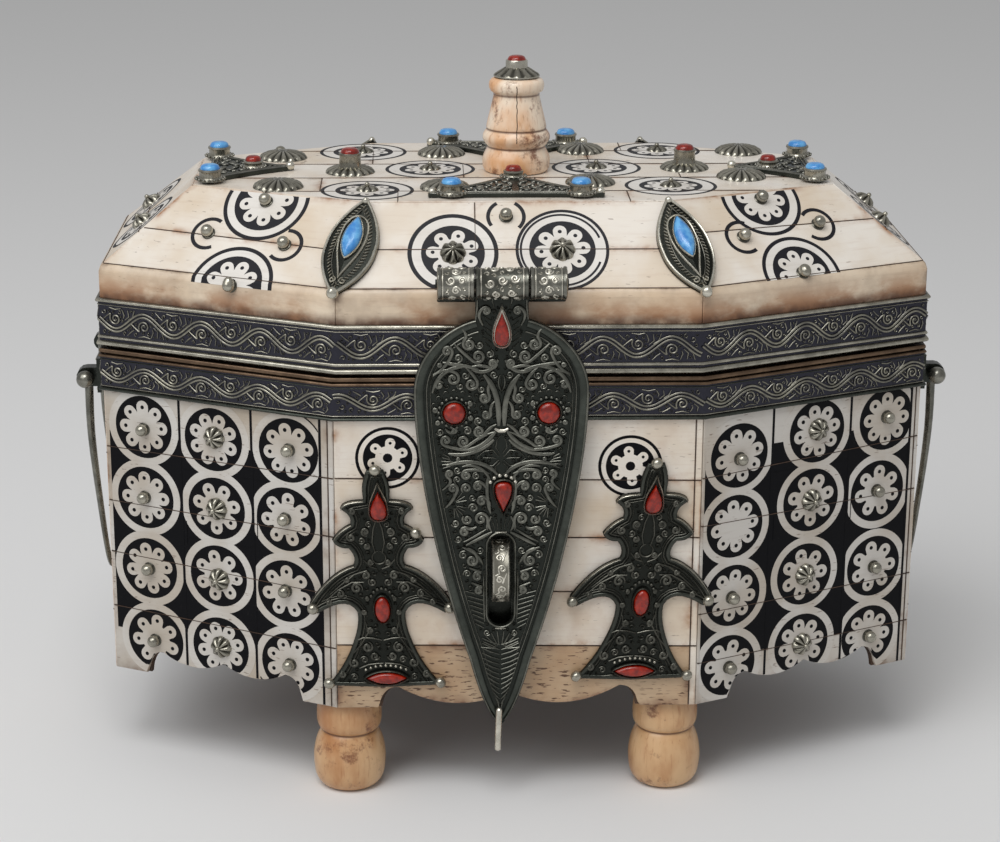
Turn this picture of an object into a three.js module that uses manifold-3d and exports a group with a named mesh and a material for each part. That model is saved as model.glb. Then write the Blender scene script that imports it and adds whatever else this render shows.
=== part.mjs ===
// An eight-sided casket of wood, dressed with bone panels, metal bands and set stones.
// Millimetres, +Z up. X runs along the box, Y from its front (negative) to its back,
// and the origin is on the ground under the middle of the box.
import * as THREE from "three";
import { mergeVertices } from "three/addons/utils/BufferGeometryUtils.js";
import Module from "manifold-3d";

const wasm = await Module();
wasm.setup();

// Driving dimensions
const fit = 0.3; // clearance between two pieces that touch
const halfLength = 149.5; // outside of the bone walls, from the middle
const halfDepth = 81.7;
const frontHalfWidth = 65; // front and back walls
const endHalfWidth = 41.3; // end walls
const boneThickness = 2.5;
const boardThickness = 7;
const floorThickness = 6;

const legBottom = 35.4; // underside of the panels' legs, where the feet come out
const apronDepth = 11.2; // the carcass ends this far above the legs, hidden by the scalloped aprons
const panelHeight = 108.8; // from the legs to the base band
const bandHeight = 13.8;
const rimHeight = 2;
const seam = 1.1; // shadow gap under the closed lid
const lidBandHeight = 17.8;
const lidEdgeHeight = 12.4; // upright bone edge of the lid, above its band
const slopeHeight = 25.3; // from the crease over that edge to the flat plateau
const creaseInset = 1.6;
const slopeStartInset = 0.9; // the slopes start this far further in
const slopeStartRise = 0.6;
const plateauHalfLength = 116.7;
const plateauHalfDepth = 55.85;
const plateauFrontHalf = 52.5;
const plateauEndHalf = 25.8;
const bandProud = 0.8; // how far the bands stand out from the bone
const beadRadius = 1.1;
const beadShare = 0.9; // how much of its radius a bead stands out from its band

const haspMiddle = -6.3; // the hasp hangs a little to the left of the middle
const haspStandoff = 4.01; // from the bands to the plate's back
const haspBarrelRadius = 5.7;
const haspAxisRise = 3.7; // above the lid's crease
const haspBarrelLength = 44.4;
const haspNeckWidth = 18.3;
const haspNeckLength = 12.5; // from the axis down to the shoulder
const haspWidth = 60.8;
const haspWidestDrop = 38.5; // from the axis down to its widest place
const haspLength = 164; // from the axis down to the tip
const haspThickness = 1.8;
const haspSetback = 0.9; // the plate's back lies this far behind the barrel's axis
const hingePlateDrop = 4.2; // from the crease to the lower edge of the plate behind the barrel
const coralDrops = { top: 18.5, pair: 45.7, middle: 75.8 }; // from the axis down to each coral
const coralSpread = 16.4;
const pinRadius = 1.5;
const pinClearance = 0.35;

const stapleDrop = 106; // from the hasp's axis down to the middle of the half ring
const stapleRadius = 12;
const stapleWire = 2.4;
const stapleWidth = 6.3;
const slotWidth = stapleWidth + 2.7;
const slotUnder = 19; // the slot reaches this far under the middle of the staple
const slotOver = 15.6;

const backBarrelRadius = 4.55;
const backHingeSpread = 40; // from the middle to each back hinge
const backHingeWidth = 30;
const leafThickness = 1.6;
const leafHeight = 15.5;

const handlePivotRise = 0.8; // over the lower edge of the base band
const lugReach = 5.9; // from the lug plate's back to the handle's axis
const lugRadius = 3.6;
const lugHalfWidth = 2.4;
const handlePivotSpread = 25;
const handleWire = 1.7;
const handleDrop = 79;
const knobRadius = 3.3;

const footRadius = 13.3;
const footNeckRadius = 10;
const footInsets = { left: 3.8, right: 9.6 }; // from the ends of the front wall to the feet's middles
const footGap = 1.6; // between a foot's neck and the bone panel in front of it
const finialShift = 1.7; // the finial stands a little to the right of the middle
const finialRadius = 12.5;
const finialHeight = 35;

const treeHeight = 83;
const treeThickness = 1.8;
const treeMiddles = [-47.6, 41];
const treeRises = [8.3, 10.3]; // from the panels' legs to the trees' feet
const treeLean = [0.035, -0.092]; // sideways for each millimetre down
const tipBall = 2.1;

const mountLength = 41;
const mountHalfWidth = 9.6;
const mountThickness = 2.2;
const mountStoneRise = 1.9;
const plateThickness = 1.5;
const stoneRise = 3.2;
const frontPlateHalf = 31;
const endPlateDepth = 32;

// Heights and reaches that follow from them
const carcassBottom = legBottom + apronDepth;
const bandBottom = legBottom + panelHeight;
const bandTop = bandBottom + bandHeight;
const rimTop = bandTop + rimHeight; // top of the box, under the lid
const lidBottom = rimTop + seam;
const lidBandTop = lidBottom + lidBandHeight;
const creaseHeight = lidBandTop + lidEdgeHeight;
const plateauHeight = creaseHeight + slopeHeight;
const beadReach = bandProud + beadRadius * beadShare; // from the bone to the outside of a band
const haspAxisHeight = creaseHeight + haspAxisRise;
const haspShoulder = haspAxisHeight - haspNeckLength;
const haspWidest = haspAxisHeight - haspWidestDrop;
const haspTip = haspAxisHeight - haspLength;
const stapleHeight = haspAxisHeight - stapleDrop;
const slotBottom = stapleHeight - slotUnder;
const slotTop = stapleHeight + slotOver;
const handlePivotHeight = bandBottom + handlePivotRise;

// Materials
const finish = (colour, roughness, metalness) =>
  new THREE.MeshStandardMaterial({ color: colour, roughness, metalness });
const bone = () => finish(0xe0d2bd, 0.45, 0);
const turnedBone = () => finish(0xe3bd93, 0.4, 0);
const wood = () => finish(0x5a3a24, 0.7, 0);
const metal = () => finish(0x6b6d64, 0.4, 0.9);
const brass = () => finish(0x8a5f3c, 0.5, 0.8);
const coral = () => finish(0xc4421f, 0.3, 0);
const turquoise = () => finish(0x3f88d6, 0.35, 0);

// Solids: closed three.js geometry joined and cut
function toSolid(geometry) {
  const bare = geometry.clone();
  for (const name of Object.keys(bare.attributes)) if (name !== "position") bare.deleteAttribute(name);
  const merged = mergeVertices(bare, 1e-3);
  return new wasm.Manifold(
    new wasm.Mesh({
      numProp: 3,
      vertProperties: merged.attributes.position.array,
      triVerts: new Uint32Array(merged.index.array),
    }),
  );
}

function toGeometry(solid) {
  const mesh = solid.getMesh();
  const geometry = new THREE.BufferGeometry();
  geometry.setAttribute("position", new THREE.BufferAttribute(new Float32Array(mesh.vertProperties), 3));
  geometry.setIndex(new THREE.BufferAttribute(new Uint32Array(mesh.triVerts), 1));
  geometry.computeVertexNormals();
  return geometry;
}

function join(...geometries) {
  return toGeometry(geometries.map(toSolid).reduce((whole, piece) => whole.add(piece)));
}

function cut(geometry, ...tools) {
  return toGeometry(tools.map(toSolid).reduce((rest, tool) => rest.subtract(tool), toSolid(geometry)));
}

// Turns the faces of a closed geometry outwards when they point in.
function facingOut(geometry) {
  const at = geometry.attributes.position;
  const index = geometry.index.array;
  const [a, b, c] = [new THREE.Vector3(), new THREE.Vector3(), new THREE.Vector3()];
  let volume = 0;
  for (let i = 0; i < index.length; i += 3) {
    a.fromBufferAttribute(at, index[i]);
    b.fromBufferAttribute(at, index[i + 1]);
    c.fromBufferAttribute(at, index[i + 2]);
    volume += a.dot(b.cross(c));
  }
  if (volume < 0)
    for (let i = 0; i < index.length; i += 3) [index[i], index[i + 1]] = [index[i + 1], index[i]];
  return geometry;
}

function box(low, high) {
  const size = high.map((value, i) => value - low[i]);
  const middle = high.map((value, i) => (value + low[i]) / 2);
  return new THREE.BoxGeometry(...size).translate(...middle);
}

function rodX(radius, from, to, y, z, sides = 16) {
  const rod = new THREE.CylinderGeometry(radius, radius, to - from, sides).rotateZ(Math.PI / 2);
  return rod.translate((from + to) / 2, y, z);
}

function rodY(radius, from, to, x, z, sides = 14) {
  return new THREE.CylinderGeometry(radius, radius, to - from, sides).translate(x, (from + to) / 2, z);
}

function turned(profile, sides = 32) {
  const points = profile.map(([radius, height]) => new THREE.Vector2(radius, height));
  return facingOut(new THREE.LatheGeometry(points, sides).rotateX(Math.PI / 2));
}

// A plate drawn in X and Z. Its back lies at Y = back and it grows towards the front.
function frontPlate(shape, thickness, back, curveSegments = 8) {
  const options = { depth: thickness, bevelEnabled: false, curveSegments };
  return new THREE.ExtrudeGeometry(shape, options).rotateX(Math.PI / 2).translate(0, back, 0);
}

// A domed stone on a flat back, with its back at Z = 0.
function cabochon(rx, ry, rise, sides = 14) {
  const profile = [[0, 0], [1, 0], [1, 0.3], [0.8, 0.75], [0.45, 0.95], [0, 1]];
  return turned(profile, sides).scale(rx, ry, rise);
}

function stretchedSphere(radii, middle, sides = 12) {
  return new THREE.SphereGeometry(1, sides, Math.ceil(sides / 2)).scale(...radii).translate(...middle);
}

// The eight-sided plan
const wallPlan = {
  length: halfLength,
  depth: halfDepth,
  front: frontHalfWidth,
  end: endHalfWidth,
};
const lidPlan = { ...wallPlan, front: frontHalfWidth - 1.5 };
const plateauPlan = {
  length: plateauHalfLength,
  depth: plateauHalfDepth,
  front: plateauFrontHalf,
  end: plateauEndHalf,
};

// Corner k of a plan, anticlockwise from the front right, moved in square to the sides by inset.
function corner(plan, k, inset = 0) {
  const run = Math.hypot(plan.depth - plan.end, plan.length - plan.front);
  const nx = (plan.depth - plan.end) / run;
  const ny = (plan.length - plan.front) / run;
  const front = plan.front - (inset * (1 - ny)) / nx;
  const end = plan.end - (inset * (1 - nx)) / ny;
  const [length, depth] = [plan.length - inset, plan.depth - inset];
  return [
    [front, -depth],
    [length, -end],
    [length, end],
    [front, depth],
    [-front, depth],
    [-length, end],
    [-length, -end],
    [-front, -depth],
  ][k % 8];
}

// An eight-sided shell. Each level has a plan, an inset and a height; one with no plan is on the axis.
function eightSided(levels, closed = true) {
  const profile = levels.map((level) => new THREE.Vector2(level.plan ? 1 : 0, level.z));
  if (closed) profile.push(profile[0].clone());
  const geometry = new THREE.LatheGeometry(profile, 8);
  const at = geometry.attributes.position;
  for (let i = 0; i < at.count; i++) {
    const level = levels[(i % profile.length) % levels.length];
    const k = Math.floor(i / profile.length);
    const [x, y] = level.plan ? corner(level.plan, k, level.inset) : [0, 0];
    at.setXYZ(i, x, y, level.z);
  }
  const bare = new THREE.BufferGeometry().setAttribute("position", at).setIndex(geometry.index);
  return facingOut(mergeVertices(bare, 1e-4));
}

// One side of such a shell, between corner k and the next, with a gap left at both ends.
function oneSide(k, levels) {
  const points = [];
  for (const level of levels) {
    const from = new THREE.Vector3(...corner(level.plan, k, level.inset), level.z);
    const to = new THREE.Vector3(...corner(level.plan, k + 1, level.inset), level.z);
    const gap = to.clone().sub(from).setLength(fit / 2);
    points.push(from.add(gap), to.sub(gap));
  }
  const n = levels.length;
  const index = [];
  for (let j = 0; j < n; j++) {
    const [a, b, c, d] = [2 * j, 2 * j + 1, (2 * j + 2) % (2 * n), (2 * j + 3) % (2 * n)];
    index.push(a, b, c, b, d, c);
  }
  // The ends are fans of quads between the outer levels and the inner ones.
  for (let j = 0; j < n / 2 - 1; j++) {
    const [p, q, r, s] = [j, j + 1, n - 2 - j, n - 1 - j];
    index.push(2 * p, 2 * q, 2 * s, 2 * q, 2 * r, 2 * s);
    index.push(2 * p + 1, 2 * s + 1, 2 * q + 1, 2 * q + 1, 2 * s + 1, 2 * r + 1);
  }
  const geometry = new THREE.BufferGeometry().setFromPoints(points).setIndex(index);
  return facingOut(geometry);
}

const model = new THREE.Group();
function place(name, geometry, material) {
  const mesh = new THREE.Mesh(geometry, material);
  mesh.name = name;
  model.add(mesh);
  return mesh;
}

const sideNames = [
  "front_right",
  "right",
  "back_right",
  "back",
  "back_left",
  "left",
  "front_left",
  "front",
];

// Bone wall panels with scalloped aprons

const archWidth = 7;

// The apron's lower edge on one face: a leg at each end, an arch beside it, two lobes and a cusp.
function apronShape(halfWidth, { leg, arch, lobe, cusp: rise, shift }, top) {
  const [archTop, lobeBottom, cusp] = [arch, lobe, rise].map((height) => legBottom + height);
  const dip = 2 * lobeBottom - (archTop + cusp) / 2; // a control point, so the curve itself stops halfway
  const [leftLeg, rightLeg] = [-1, 1].map((sign) => sign * (halfWidth - leg) + shift);
  const [leftArch, rightArch] = [leftLeg + archWidth, rightLeg - archWidth];
  const shape = new THREE.Shape();
  shape.moveTo(-halfWidth, top);
  shape.lineTo(-halfWidth, legBottom);
  shape.lineTo(leftLeg, legBottom);
  shape.quadraticCurveTo(leftLeg + 1, archTop, leftArch, archTop);
  shape.quadraticCurveTo((leftArch + shift) / 2, dip, shift, cusp);
  shape.quadraticCurveTo((rightArch + shift) / 2, dip, rightArch, archTop);
  shape.quadraticCurveTo(rightLeg - 1, archTop, rightLeg, legBottom);
  shape.lineTo(halfWidth, legBottom);
  shape.lineTo(halfWidth, top);
  return shape;
}

// Widths along the wall, and heights above the legs.
const apronOf = {
  front: { leg: 17.8, arch: 8, lobe: 1.4, cusp: 5.7, shift: -2.9 },
  back: { leg: 17.8, arch: 8, lobe: 1.4, cusp: 5.7, shift: 0 },
  end: { leg: 14, arch: 9.6, lobe: 5.6, cusp: 9.4, shift: 0 },
  diagonal: { leg: 14, arch: 9.2, lobe: 5.4, cusp: 9, shift: 0 },
};
const apronKinds = ["diagonal", "end", "diagonal", "back", "diagonal", "end", "diagonal", "front"];

for (let k = 0; k < 8; k++) {
  const [from, to, innerFrom, innerTo] = [
    corner(wallPlan, k),
    corner(wallPlan, k + 1),
    corner(wallPlan, k, boneThickness),
    corner(wallPlan, k + 1, boneThickness),
  ].map((point) => new THREE.Vector2(...point));
  const along = to.clone().sub(from).normalize();
  const middle = from.clone().add(to).divideScalar(2);
  const halfWidth = from.distanceTo(to) / 2 - fit / 2;
  const innerLeft = innerFrom.sub(middle).dot(along) + fit / 2;
  const innerRight = innerTo.sub(middle).dot(along) - fit / 2;
  const shape = apronShape(halfWidth, apronOf[apronKinds[k]], bandTop);
  const panel = frontPlate(shape, boneThickness, boneThickness, 5);
  // The panels meet in mitres, so each is narrower at its back.
  const at = panel.attributes.position;
  for (let i = 0; i < at.count; i++)
    if (at.getY(i) > boneThickness / 2) {
      const share = (at.getX(i) + halfWidth) / (2 * halfWidth);
      at.setX(i, innerLeft + share * (innerRight - innerLeft));
    }
  panel.rotateZ(along.angle());
  panel.translate(middle.x, middle.y, 0);
  place(sideNames[k] + "_bone_panel", panel, bone());
}

// Wooden carcass and floor
const carcassInset = boneThickness + fit;
const carcassLevels = [
  { plan: wallPlan, inset: carcassInset, z: carcassBottom },
  { plan: wallPlan, inset: carcassInset, z: rimTop },
  { plan: wallPlan, inset: carcassInset + boardThickness, z: rimTop },
  { plan: wallPlan, inset: carcassInset + boardThickness, z: carcassBottom },
];
place("carcass", eightSided(carcassLevels), wood());

const floorInset = carcassInset + boardThickness + fit;
const floorLevels = [
  { z: carcassBottom },
  { plan: wallPlan, inset: floorInset, z: carcassBottom },
  { plan: wallPlan, inset: floorInset, z: carcassBottom + floorThickness },
  { z: carcassBottom + floorThickness },
];
place("bottom_board", eightSided(floorLevels, false), wood());

// A metal band: a flat strip on the bone with a half-round bead along each edge.
function bandLevels(plan, bottom, top) {
  const beadSide = (middle, sign) =>
    [-90, -40, 0, 40, 90].map((angle) => {
      const turn = (angle * Math.PI) / 180;
      const proud = bandProud + beadRadius * Math.cos(turn) * beadShare;
      return { plan, inset: -proud, z: middle + sign * beadRadius * Math.sin(turn) };
    });
  return [
    { plan, inset: -fit, z: bottom },
    ...beadSide(bottom + beadRadius, 1),
    ...beadSide(top - beadRadius, 1),
    { plan, inset: -fit, z: top },
  ];
}
place("base_band", eightSided(bandLevels(wallPlan, bandBottom, bandTop)), metal());

const rimProud = 0.6;
const rimLevels = [
  { plan: wallPlan, inset: -rimProud, z: bandTop + fit },
  { plan: wallPlan, inset: -rimProud, z: rimTop },
  { plan: wallPlan, inset: carcassInset - fit, z: rimTop },
  { plan: wallPlan, inset: carcassInset - fit, z: bandTop + fit },
];
place("rim_strip", eightSided(rimLevels), brass());

// Turned feet, each fixed under the floor with a plain neck behind the apron
const footShoulder = legBottom - 0.4;
const footProfile = [
  [0, 0],
  [footRadius - 4.7, 0],
  [footRadius - 2.5, 1.2],
  [footRadius - 0.7, 4.2],
  [footRadius, 9.2],
  [footRadius - 0.2, 13.5],
  [footRadius - 1.1, 17.9],
  [footRadius - 2.5, 21.2],
  [footRadius - 3.1, 22.2],
  [footRadius - 2.1, 23.4],
  [footRadius - 1.4, 25.4],
  [footRadius - 1.4, footShoulder - 5.4],
  [footRadius - 2.1, footShoulder],
  [footNeckRadius, footShoulder],
  [footNeckRadius, carcassBottom - fit],
  [0, carcassBottom - fit],
];
const footY = halfDepth - boneThickness - footGap - footNeckRadius;
for (const [side, sx] of [["left", -1], ["right", 1]])
  for (const [end, sy] of [["front", -1], ["back", 1]]) {
    const foot = place(end + "_" + side + "_foot", turned(footProfile, 18), turnedBone());
    foot.position.set(sx * (frontHalfWidth - footInsets[side]), sy * footY, 0);
  }

// Staple: a half ring standing in the plane of Y and Z, which passes through the hasp's slot
const toSidePlane = new THREE.Matrix4().makeBasis(
  new THREE.Vector3(0, 0, 1),
  new THREE.Vector3(0, -1, 0),
  new THREE.Vector3(1, 0, 0),
);
const ring = new THREE.Shape();
ring.absarc(0, 0, stapleRadius, 0, Math.PI, false);
ring.lineTo(-(stapleRadius - stapleWire), 0);
ring.absarc(0, 0, stapleRadius - stapleWire, Math.PI, 0, true);
const stapleOptions = { depth: stapleWidth, bevelEnabled: false, curveSegments: 10 };
const staple = new THREE.ExtrudeGeometry(ring, stapleOptions).applyMatrix4(toSidePlane);
staple.translate(haspMiddle - stapleWidth / 2, -halfDepth - fit, stapleHeight);
place("staple", staple, metal());

// Tree ornaments on the front wall, each with three stone settings and a ball on every tip

// The outline is drawn for this height, as half widths and heights from its foot to its head.
const treeDrawn = 83;
const treeUnit = treeHeight / treeDrawn;
const treeFoot = [20.9, 1.2];
const treeCurves = [
  [13.2, 9, 9.6, 21],
  [8.2, 26, 8.7, 29.5],
  [12, 36, 22.6, 29],
  [26.5, 29, 25.4, 33.5],
  [18, 45, 9.2, 47.6],
  [8, 50.5, 10.6, 53.6],
  [15, 53.4, 16.4, 57],
  [14, 61, 9.6, 63],
  [9, 66.4, 13.2, 68.4],
  [12.6, 72, 4.6, 72],
  [5.8, 77, 3, 83],
].map((curve) => curve.map((value) => value * treeUnit));
function treeShape() {
  const foot = treeFoot.map((value) => value * treeUnit);
  const shape = new THREE.Shape();
  shape.moveTo(0, 0.4 * treeUnit);
  shape.lineTo(...foot);
  for (const curve of treeCurves) shape.quadraticCurveTo(...curve);
  const ends = [foot, ...treeCurves.map((curve) => curve.slice(2))];
  const [headX, headZ] = ends.pop();
  shape.lineTo(-headX, headZ);
  for (const [controlX, controlZ] of treeCurves.toReversed()) {
    const [x, z] = ends.pop();
    shape.quadraticCurveTo(-controlX, controlZ, -x, z);
  }
  return shape;
}

const treeTips = [
  [0, 83],
  [24.4, 31.2],
  [-24.4, 31.2],
  [20, 2.4],
  [-20, 2.4],
];
// Height of each setting's middle, its half width and its half height.
const treeSettings = [
  [69, 2.9, 6.4],
  [30, 2.9, 5],
  [4.6, 7.2, 2.2],
];
const treeBack = -halfDepth - fit;
treeMiddles.forEach((middle, i) => {
  const pieces = [frontPlate(treeShape(), treeThickness, treeBack, 3)];
  const ballY = treeBack - tipBall;
  for (const [x, z] of treeTips)
    pieces.push(stretchedSphere([tipBall, tipBall, tipBall], [x * treeUnit, ballY, z * treeUnit], 8));
  const depth = treeThickness + stoneRise / 2;
  for (const setting of treeSettings) {
    const [z, rx, rz] = setting.map((value) => value * treeUnit);
    const cup = new THREE.CylinderGeometry(1, 1, 1, 12).scale(rx, depth, rz);
    pieces.push(cup.translate(0, treeBack - depth / 2, z));
  }
  const tree = join(...pieces);
  // The tree leans, so it is sheared sideways from its foot up.
  const at = tree.attributes.position;
  for (let j = 0; j < at.count; j++) at.setX(j, at.getX(j) - treeLean[i] * at.getZ(j));
  tree.translate(middle, 0, legBottom + treeRises[i]);
  place((i ? "right" : "left") + "_tree_ornament", tree, metal());
});

// Bail handles at both ends, each hung in two lugs on a plate over the base band
const lugPlateBack = halfLength + bandProud + beadRadius + fit;
const handlePivotReach = lugPlateBack + lugReach;
function handlePlate() {
  const top = handlePivotHeight;
  const lugs = [-1, 1].map((sign) => {
    const [from, to] = [-lugHalfWidth, lugHalfWidth].map((side) => sign * handlePivotSpread + side);
    const arm = box([lugPlateBack, from, top - lugRadius], [handlePivotReach, to, top + lugRadius]);
    return [arm, rodY(lugRadius, from, to, handlePivotReach, top)];
  });
  const halfWidth = handlePivotSpread + lugRadius + lugHalfWidth;
  const strip = box(
    [lugPlateBack, -halfWidth, top - lugRadius - 1.4],
    [lugPlateBack + plateThickness, halfWidth, top + lugRadius + 4.4],
  );
  const bore = rodY(handleWire + pinClearance, -halfWidth, halfWidth, handlePivotReach, top);
  return cut(join(strip, ...lugs.flat()), bore);
}

function handle() {
  const inside = handlePivotSpread - lugHalfWidth - handleWire - fit;
  const top = handlePivotHeight;
  const lean = 4.6; // the bail's lower end lies closer to the wall
  const bail = [
    [handlePivotReach, -handlePivotSpread - lugHalfWidth - 1, top],
    [handlePivotReach, -inside - 1.6, top],
    [handlePivotReach, -inside, top - 1.6],
    [handlePivotReach, -inside, top - handleDrop * 0.3],
    [handlePivotReach - lean * 0.45, -inside + 0.6, top - handleDrop * 0.65],
    [handlePivotReach - lean * 0.9, -inside * 0.8, top - handleDrop * 0.95],
    [handlePivotReach - lean, 0, top - handleDrop],
  ];
  const across = bail.slice(0, -1).reverse().map(([x, y, z]) => [x, -y, z]);
  const points = [...bail, ...across].map((point) => new THREE.Vector3(...point));
  const path = new THREE.CatmullRomCurve3(points, false, "centripetal");
  const section = new THREE.Shape();
  section.absarc(0, 0, handleWire, 0, 2 * Math.PI, false);
  const wire = new THREE.ExtrudeGeometry(section, { steps: 60, extrudePath: path, curveSegments: 4 });
  const knobY = handlePivotSpread + lugHalfWidth + fit + knobRadius * 0.9;
  const knobs = [-knobY, knobY].map((y) =>
    stretchedSphere([knobRadius, knobRadius, knobRadius], [handlePivotReach, y, top], 12),
  );
  return join(wire, ...knobs);
}

for (const [side, turn] of [["right", 0], ["left", Math.PI]]) {
  place(side + "_handle_plate", handlePlate().rotateZ(turn), metal());
  place(side + "_handle", handle().rotateZ(turn), metal());
}

// Two hinges at the back: a leaf on the base, a leaf on the lid, and a pin through their knuckles
const leafInner = halfDepth + bandProud + beadRadius + fit;
const knuckleSink = 0.5; // how far a knuckle reaches into its leaf
const backAxisY = leafInner + leafThickness - knuckleSink + backBarrelRadius;
const backAxisZ = rimTop + seam / 2;
function backLeaf(middle, ofLid) {
  const low = middle - backHingeWidth / 2;
  const third = backHingeWidth / 3;
  const [bottom, top] = ofLid
    ? [backAxisZ + seam / 2, backAxisZ + seam / 2 + leafHeight]
    : [backAxisZ - seam / 2 - leafHeight, backAxisZ - seam / 2];
  const leaf = box([low, leafInner, bottom], [low + backHingeWidth, leafInner + leafThickness, top]);
  const knuckles = ofLid ? [[1, 2]] : [[0, 1], [2, 3]];
  const others = ofLid ? [[0, 1], [2, 3]] : [[1, 2]];
  const end = (index) => low + third * index;
  const own = knuckles.map(([from, to]) => {
    const [start, stop] = [end(from) + (from ? fit / 2 : 0), end(to) - (to < 3 ? fit / 2 : 0)];
    return rodX(backBarrelRadius, start, stop, backAxisY, backAxisZ);
  });
  const clear = others.map(([from, to]) =>
    rodX(backBarrelRadius + fit, end(from) - fit / 2, end(to) + fit / 2, backAxisY, backAxisZ),
  );
  const bore = rodX(pinRadius + pinClearance, low - 1, low + backHingeWidth + 1, backAxisY, backAxisZ, 12);
  return cut(join(cut(leaf, ...clear), ...own), bore);
}
for (const [side, sign] of [["left", -1], ["right", 1]]) {
  const middle = sign * backHingeSpread;
  place(side + "_hinge_base_leaf", backLeaf(middle, false), metal());
  place(side + "_hinge_lid_leaf", backLeaf(middle, true), metal());
  const reach = backHingeWidth / 2 + 1.4;
  const pin = rodX(pinRadius, middle - reach, middle + reach, backAxisY, backAxisZ, 12);
  place(side + "_hinge_pin", pin, metal());
}

// Lid: a hollow wooden core, bone on its eight sides and its plateau, and a metal band
const coreInset = boneThickness + fit;
const slopeDrop = boneThickness + fit; // the core lies this far under the plateau
const coreLevels = [
  { z: plateauHeight - slopeDrop },
  { plan: plateauPlan, inset: 1.4, z: plateauHeight - slopeDrop },
  { plan: lidPlan, inset: creaseInset + coreInset, z: creaseHeight - 1.6 },
  { plan: lidPlan, inset: coreInset, z: lidBottom },
  { plan: lidPlan, inset: coreInset + boardThickness, z: lidBottom },
  { plan: lidPlan, inset: creaseInset + coreInset + boardThickness, z: creaseHeight - 5 },
  { plan: plateauPlan, inset: 6, z: plateauHeight - slopeDrop - 6 },
  { z: plateauHeight - slopeDrop - 6 },
];
place("lid_core", eightSided(coreLevels, false), wood());

const slopeLevels = [
  { plan: lidPlan, inset: 0, z: lidBottom + fit },
  { plan: lidPlan, inset: 0, z: creaseHeight - 3 },
  { plan: lidPlan, inset: creaseInset * 0.4, z: creaseHeight - 1 },
  { plan: lidPlan, inset: creaseInset + slopeStartInset, z: creaseHeight + slopeStartRise },
  { plan: plateauPlan, inset: 0, z: plateauHeight - 0.2 },
  { plan: plateauPlan, inset: 1.1, z: plateauHeight - slopeDrop + 0.4 },
  { plan: lidPlan, inset: creaseInset + boneThickness + 0.9, z: creaseHeight - 0.9 },
  { plan: lidPlan, inset: creaseInset + boneThickness - 0.2, z: creaseHeight - 1.6 },
  { plan: lidPlan, inset: boneThickness, z: creaseHeight - 3 },
  { plan: lidPlan, inset: boneThickness, z: lidBottom + fit },
];
for (let k = 0; k < 8; k++) place("lid_" + sideNames[k] + "_bone_panel", oneSide(k, slopeLevels), bone());

const topLevels = [
  { z: plateauHeight - boneThickness },
  { plan: plateauPlan, inset: 2.6, z: plateauHeight - boneThickness },
  { plan: plateauPlan, inset: 0.5, z: plateauHeight },
  { z: plateauHeight },
];
place("lid_top_bone_panel", eightSided(topLevels, false), bone());
place("lid_band", eightSided(bandLevels(lidPlan, lidBottom, lidBandTop)), metal());

// Finial of turned bone, its metal cap and the coral on top
const finialProfile = [
  [0, plateauHeight + fit],
  [11.6, plateauHeight + fit],
  [finialRadius, plateauHeight + 2],
  [finialRadius, plateauHeight + 5],
  [11.2, plateauHeight + 8],
  [10.6, plateauHeight + 9.4],
  [11.4, plateauHeight + 10.4],
  [finialRadius, plateauHeight + 12],
  [finialRadius, plateauHeight + 14],
  [11.4, plateauHeight + 15.4],
  [11, plateauHeight + 16],
  [11.3, plateauHeight + 17],
  [9.4, plateauHeight + 24],
  [8.6, plateauHeight + 29],
  [9.8, plateauHeight + 30.4],
  [10.3, plateauHeight + 32],
  [9.8, plateauHeight + 33.8],
  [8.2, plateauHeight + finialHeight],
  [0, plateauHeight + finialHeight],
];
const capBottom = plateauHeight + finialHeight + fit;
const capProfile = [
  [0, capBottom],
  [8.5, capBottom],
  [8.6, capBottom + 0.8],
  [6.6, capBottom + 2.2],
  [4.6, capBottom + 4],
  [4, capBottom + 4.6],
  [4, capBottom + 6],
  [3.2, capBottom + 6],
  [3.2, capBottom + 5],
  [0, capBottom + 5],
];
const stoneProfile = [
  [0, capBottom + 5 + fit],
  [2.8, capBottom + 5 + fit],
  [2.8, capBottom + 6.6],
  [1.8, capBottom + 7.6],
  [0, capBottom + 7.8],
];
for (const [name, profile, sides, material] of [
  ["finial", finialProfile, 20, turnedBone()],
  ["finial_cap", capProfile, 20, metal()],
  ["finial_coral", stoneProfile, 12, coral()],
])
  place(name, turned(profile, sides), material).position.x = finialShift;

// Marquise mounts with a long stone, one on each of the four ridges beside the front and back slopes
function marquiseShape(halfWidth, halfLong) {
  const shape = new THREE.Shape();
  shape.moveTo(0, -halfLong);
  shape.quadraticCurveTo(halfWidth, -halfLong * 0.55, halfWidth, 0);
  shape.quadraticCurveTo(halfWidth, halfLong * 0.55, 0, halfLong);
  return shape;
}

// One half of a mount: its underside is folded down from the ridge to lie on the slope.
function mountHalf(sign, fold, halfWidth, halfLong, low, high) {
  const half = marquiseShape(halfWidth, halfLong);
  const options = { depth: high - low, bevelEnabled: false, curveSegments: 4 };
  const geometry = new THREE.ExtrudeGeometry(half, options).translate(0, 0, low);
  const at = geometry.attributes.position;
  for (let i = 0; i < at.count; i++) at.setZ(i, at.getZ(i) - at.getX(i) * fold);
  if (sign < 0) {
    geometry.scale(-1, 1, 1);
    const index = mergeVertices(new THREE.BufferGeometry().setAttribute("position", at), 1e-4);
    return facingOut(index);
  }
  return geometry;
}

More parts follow.
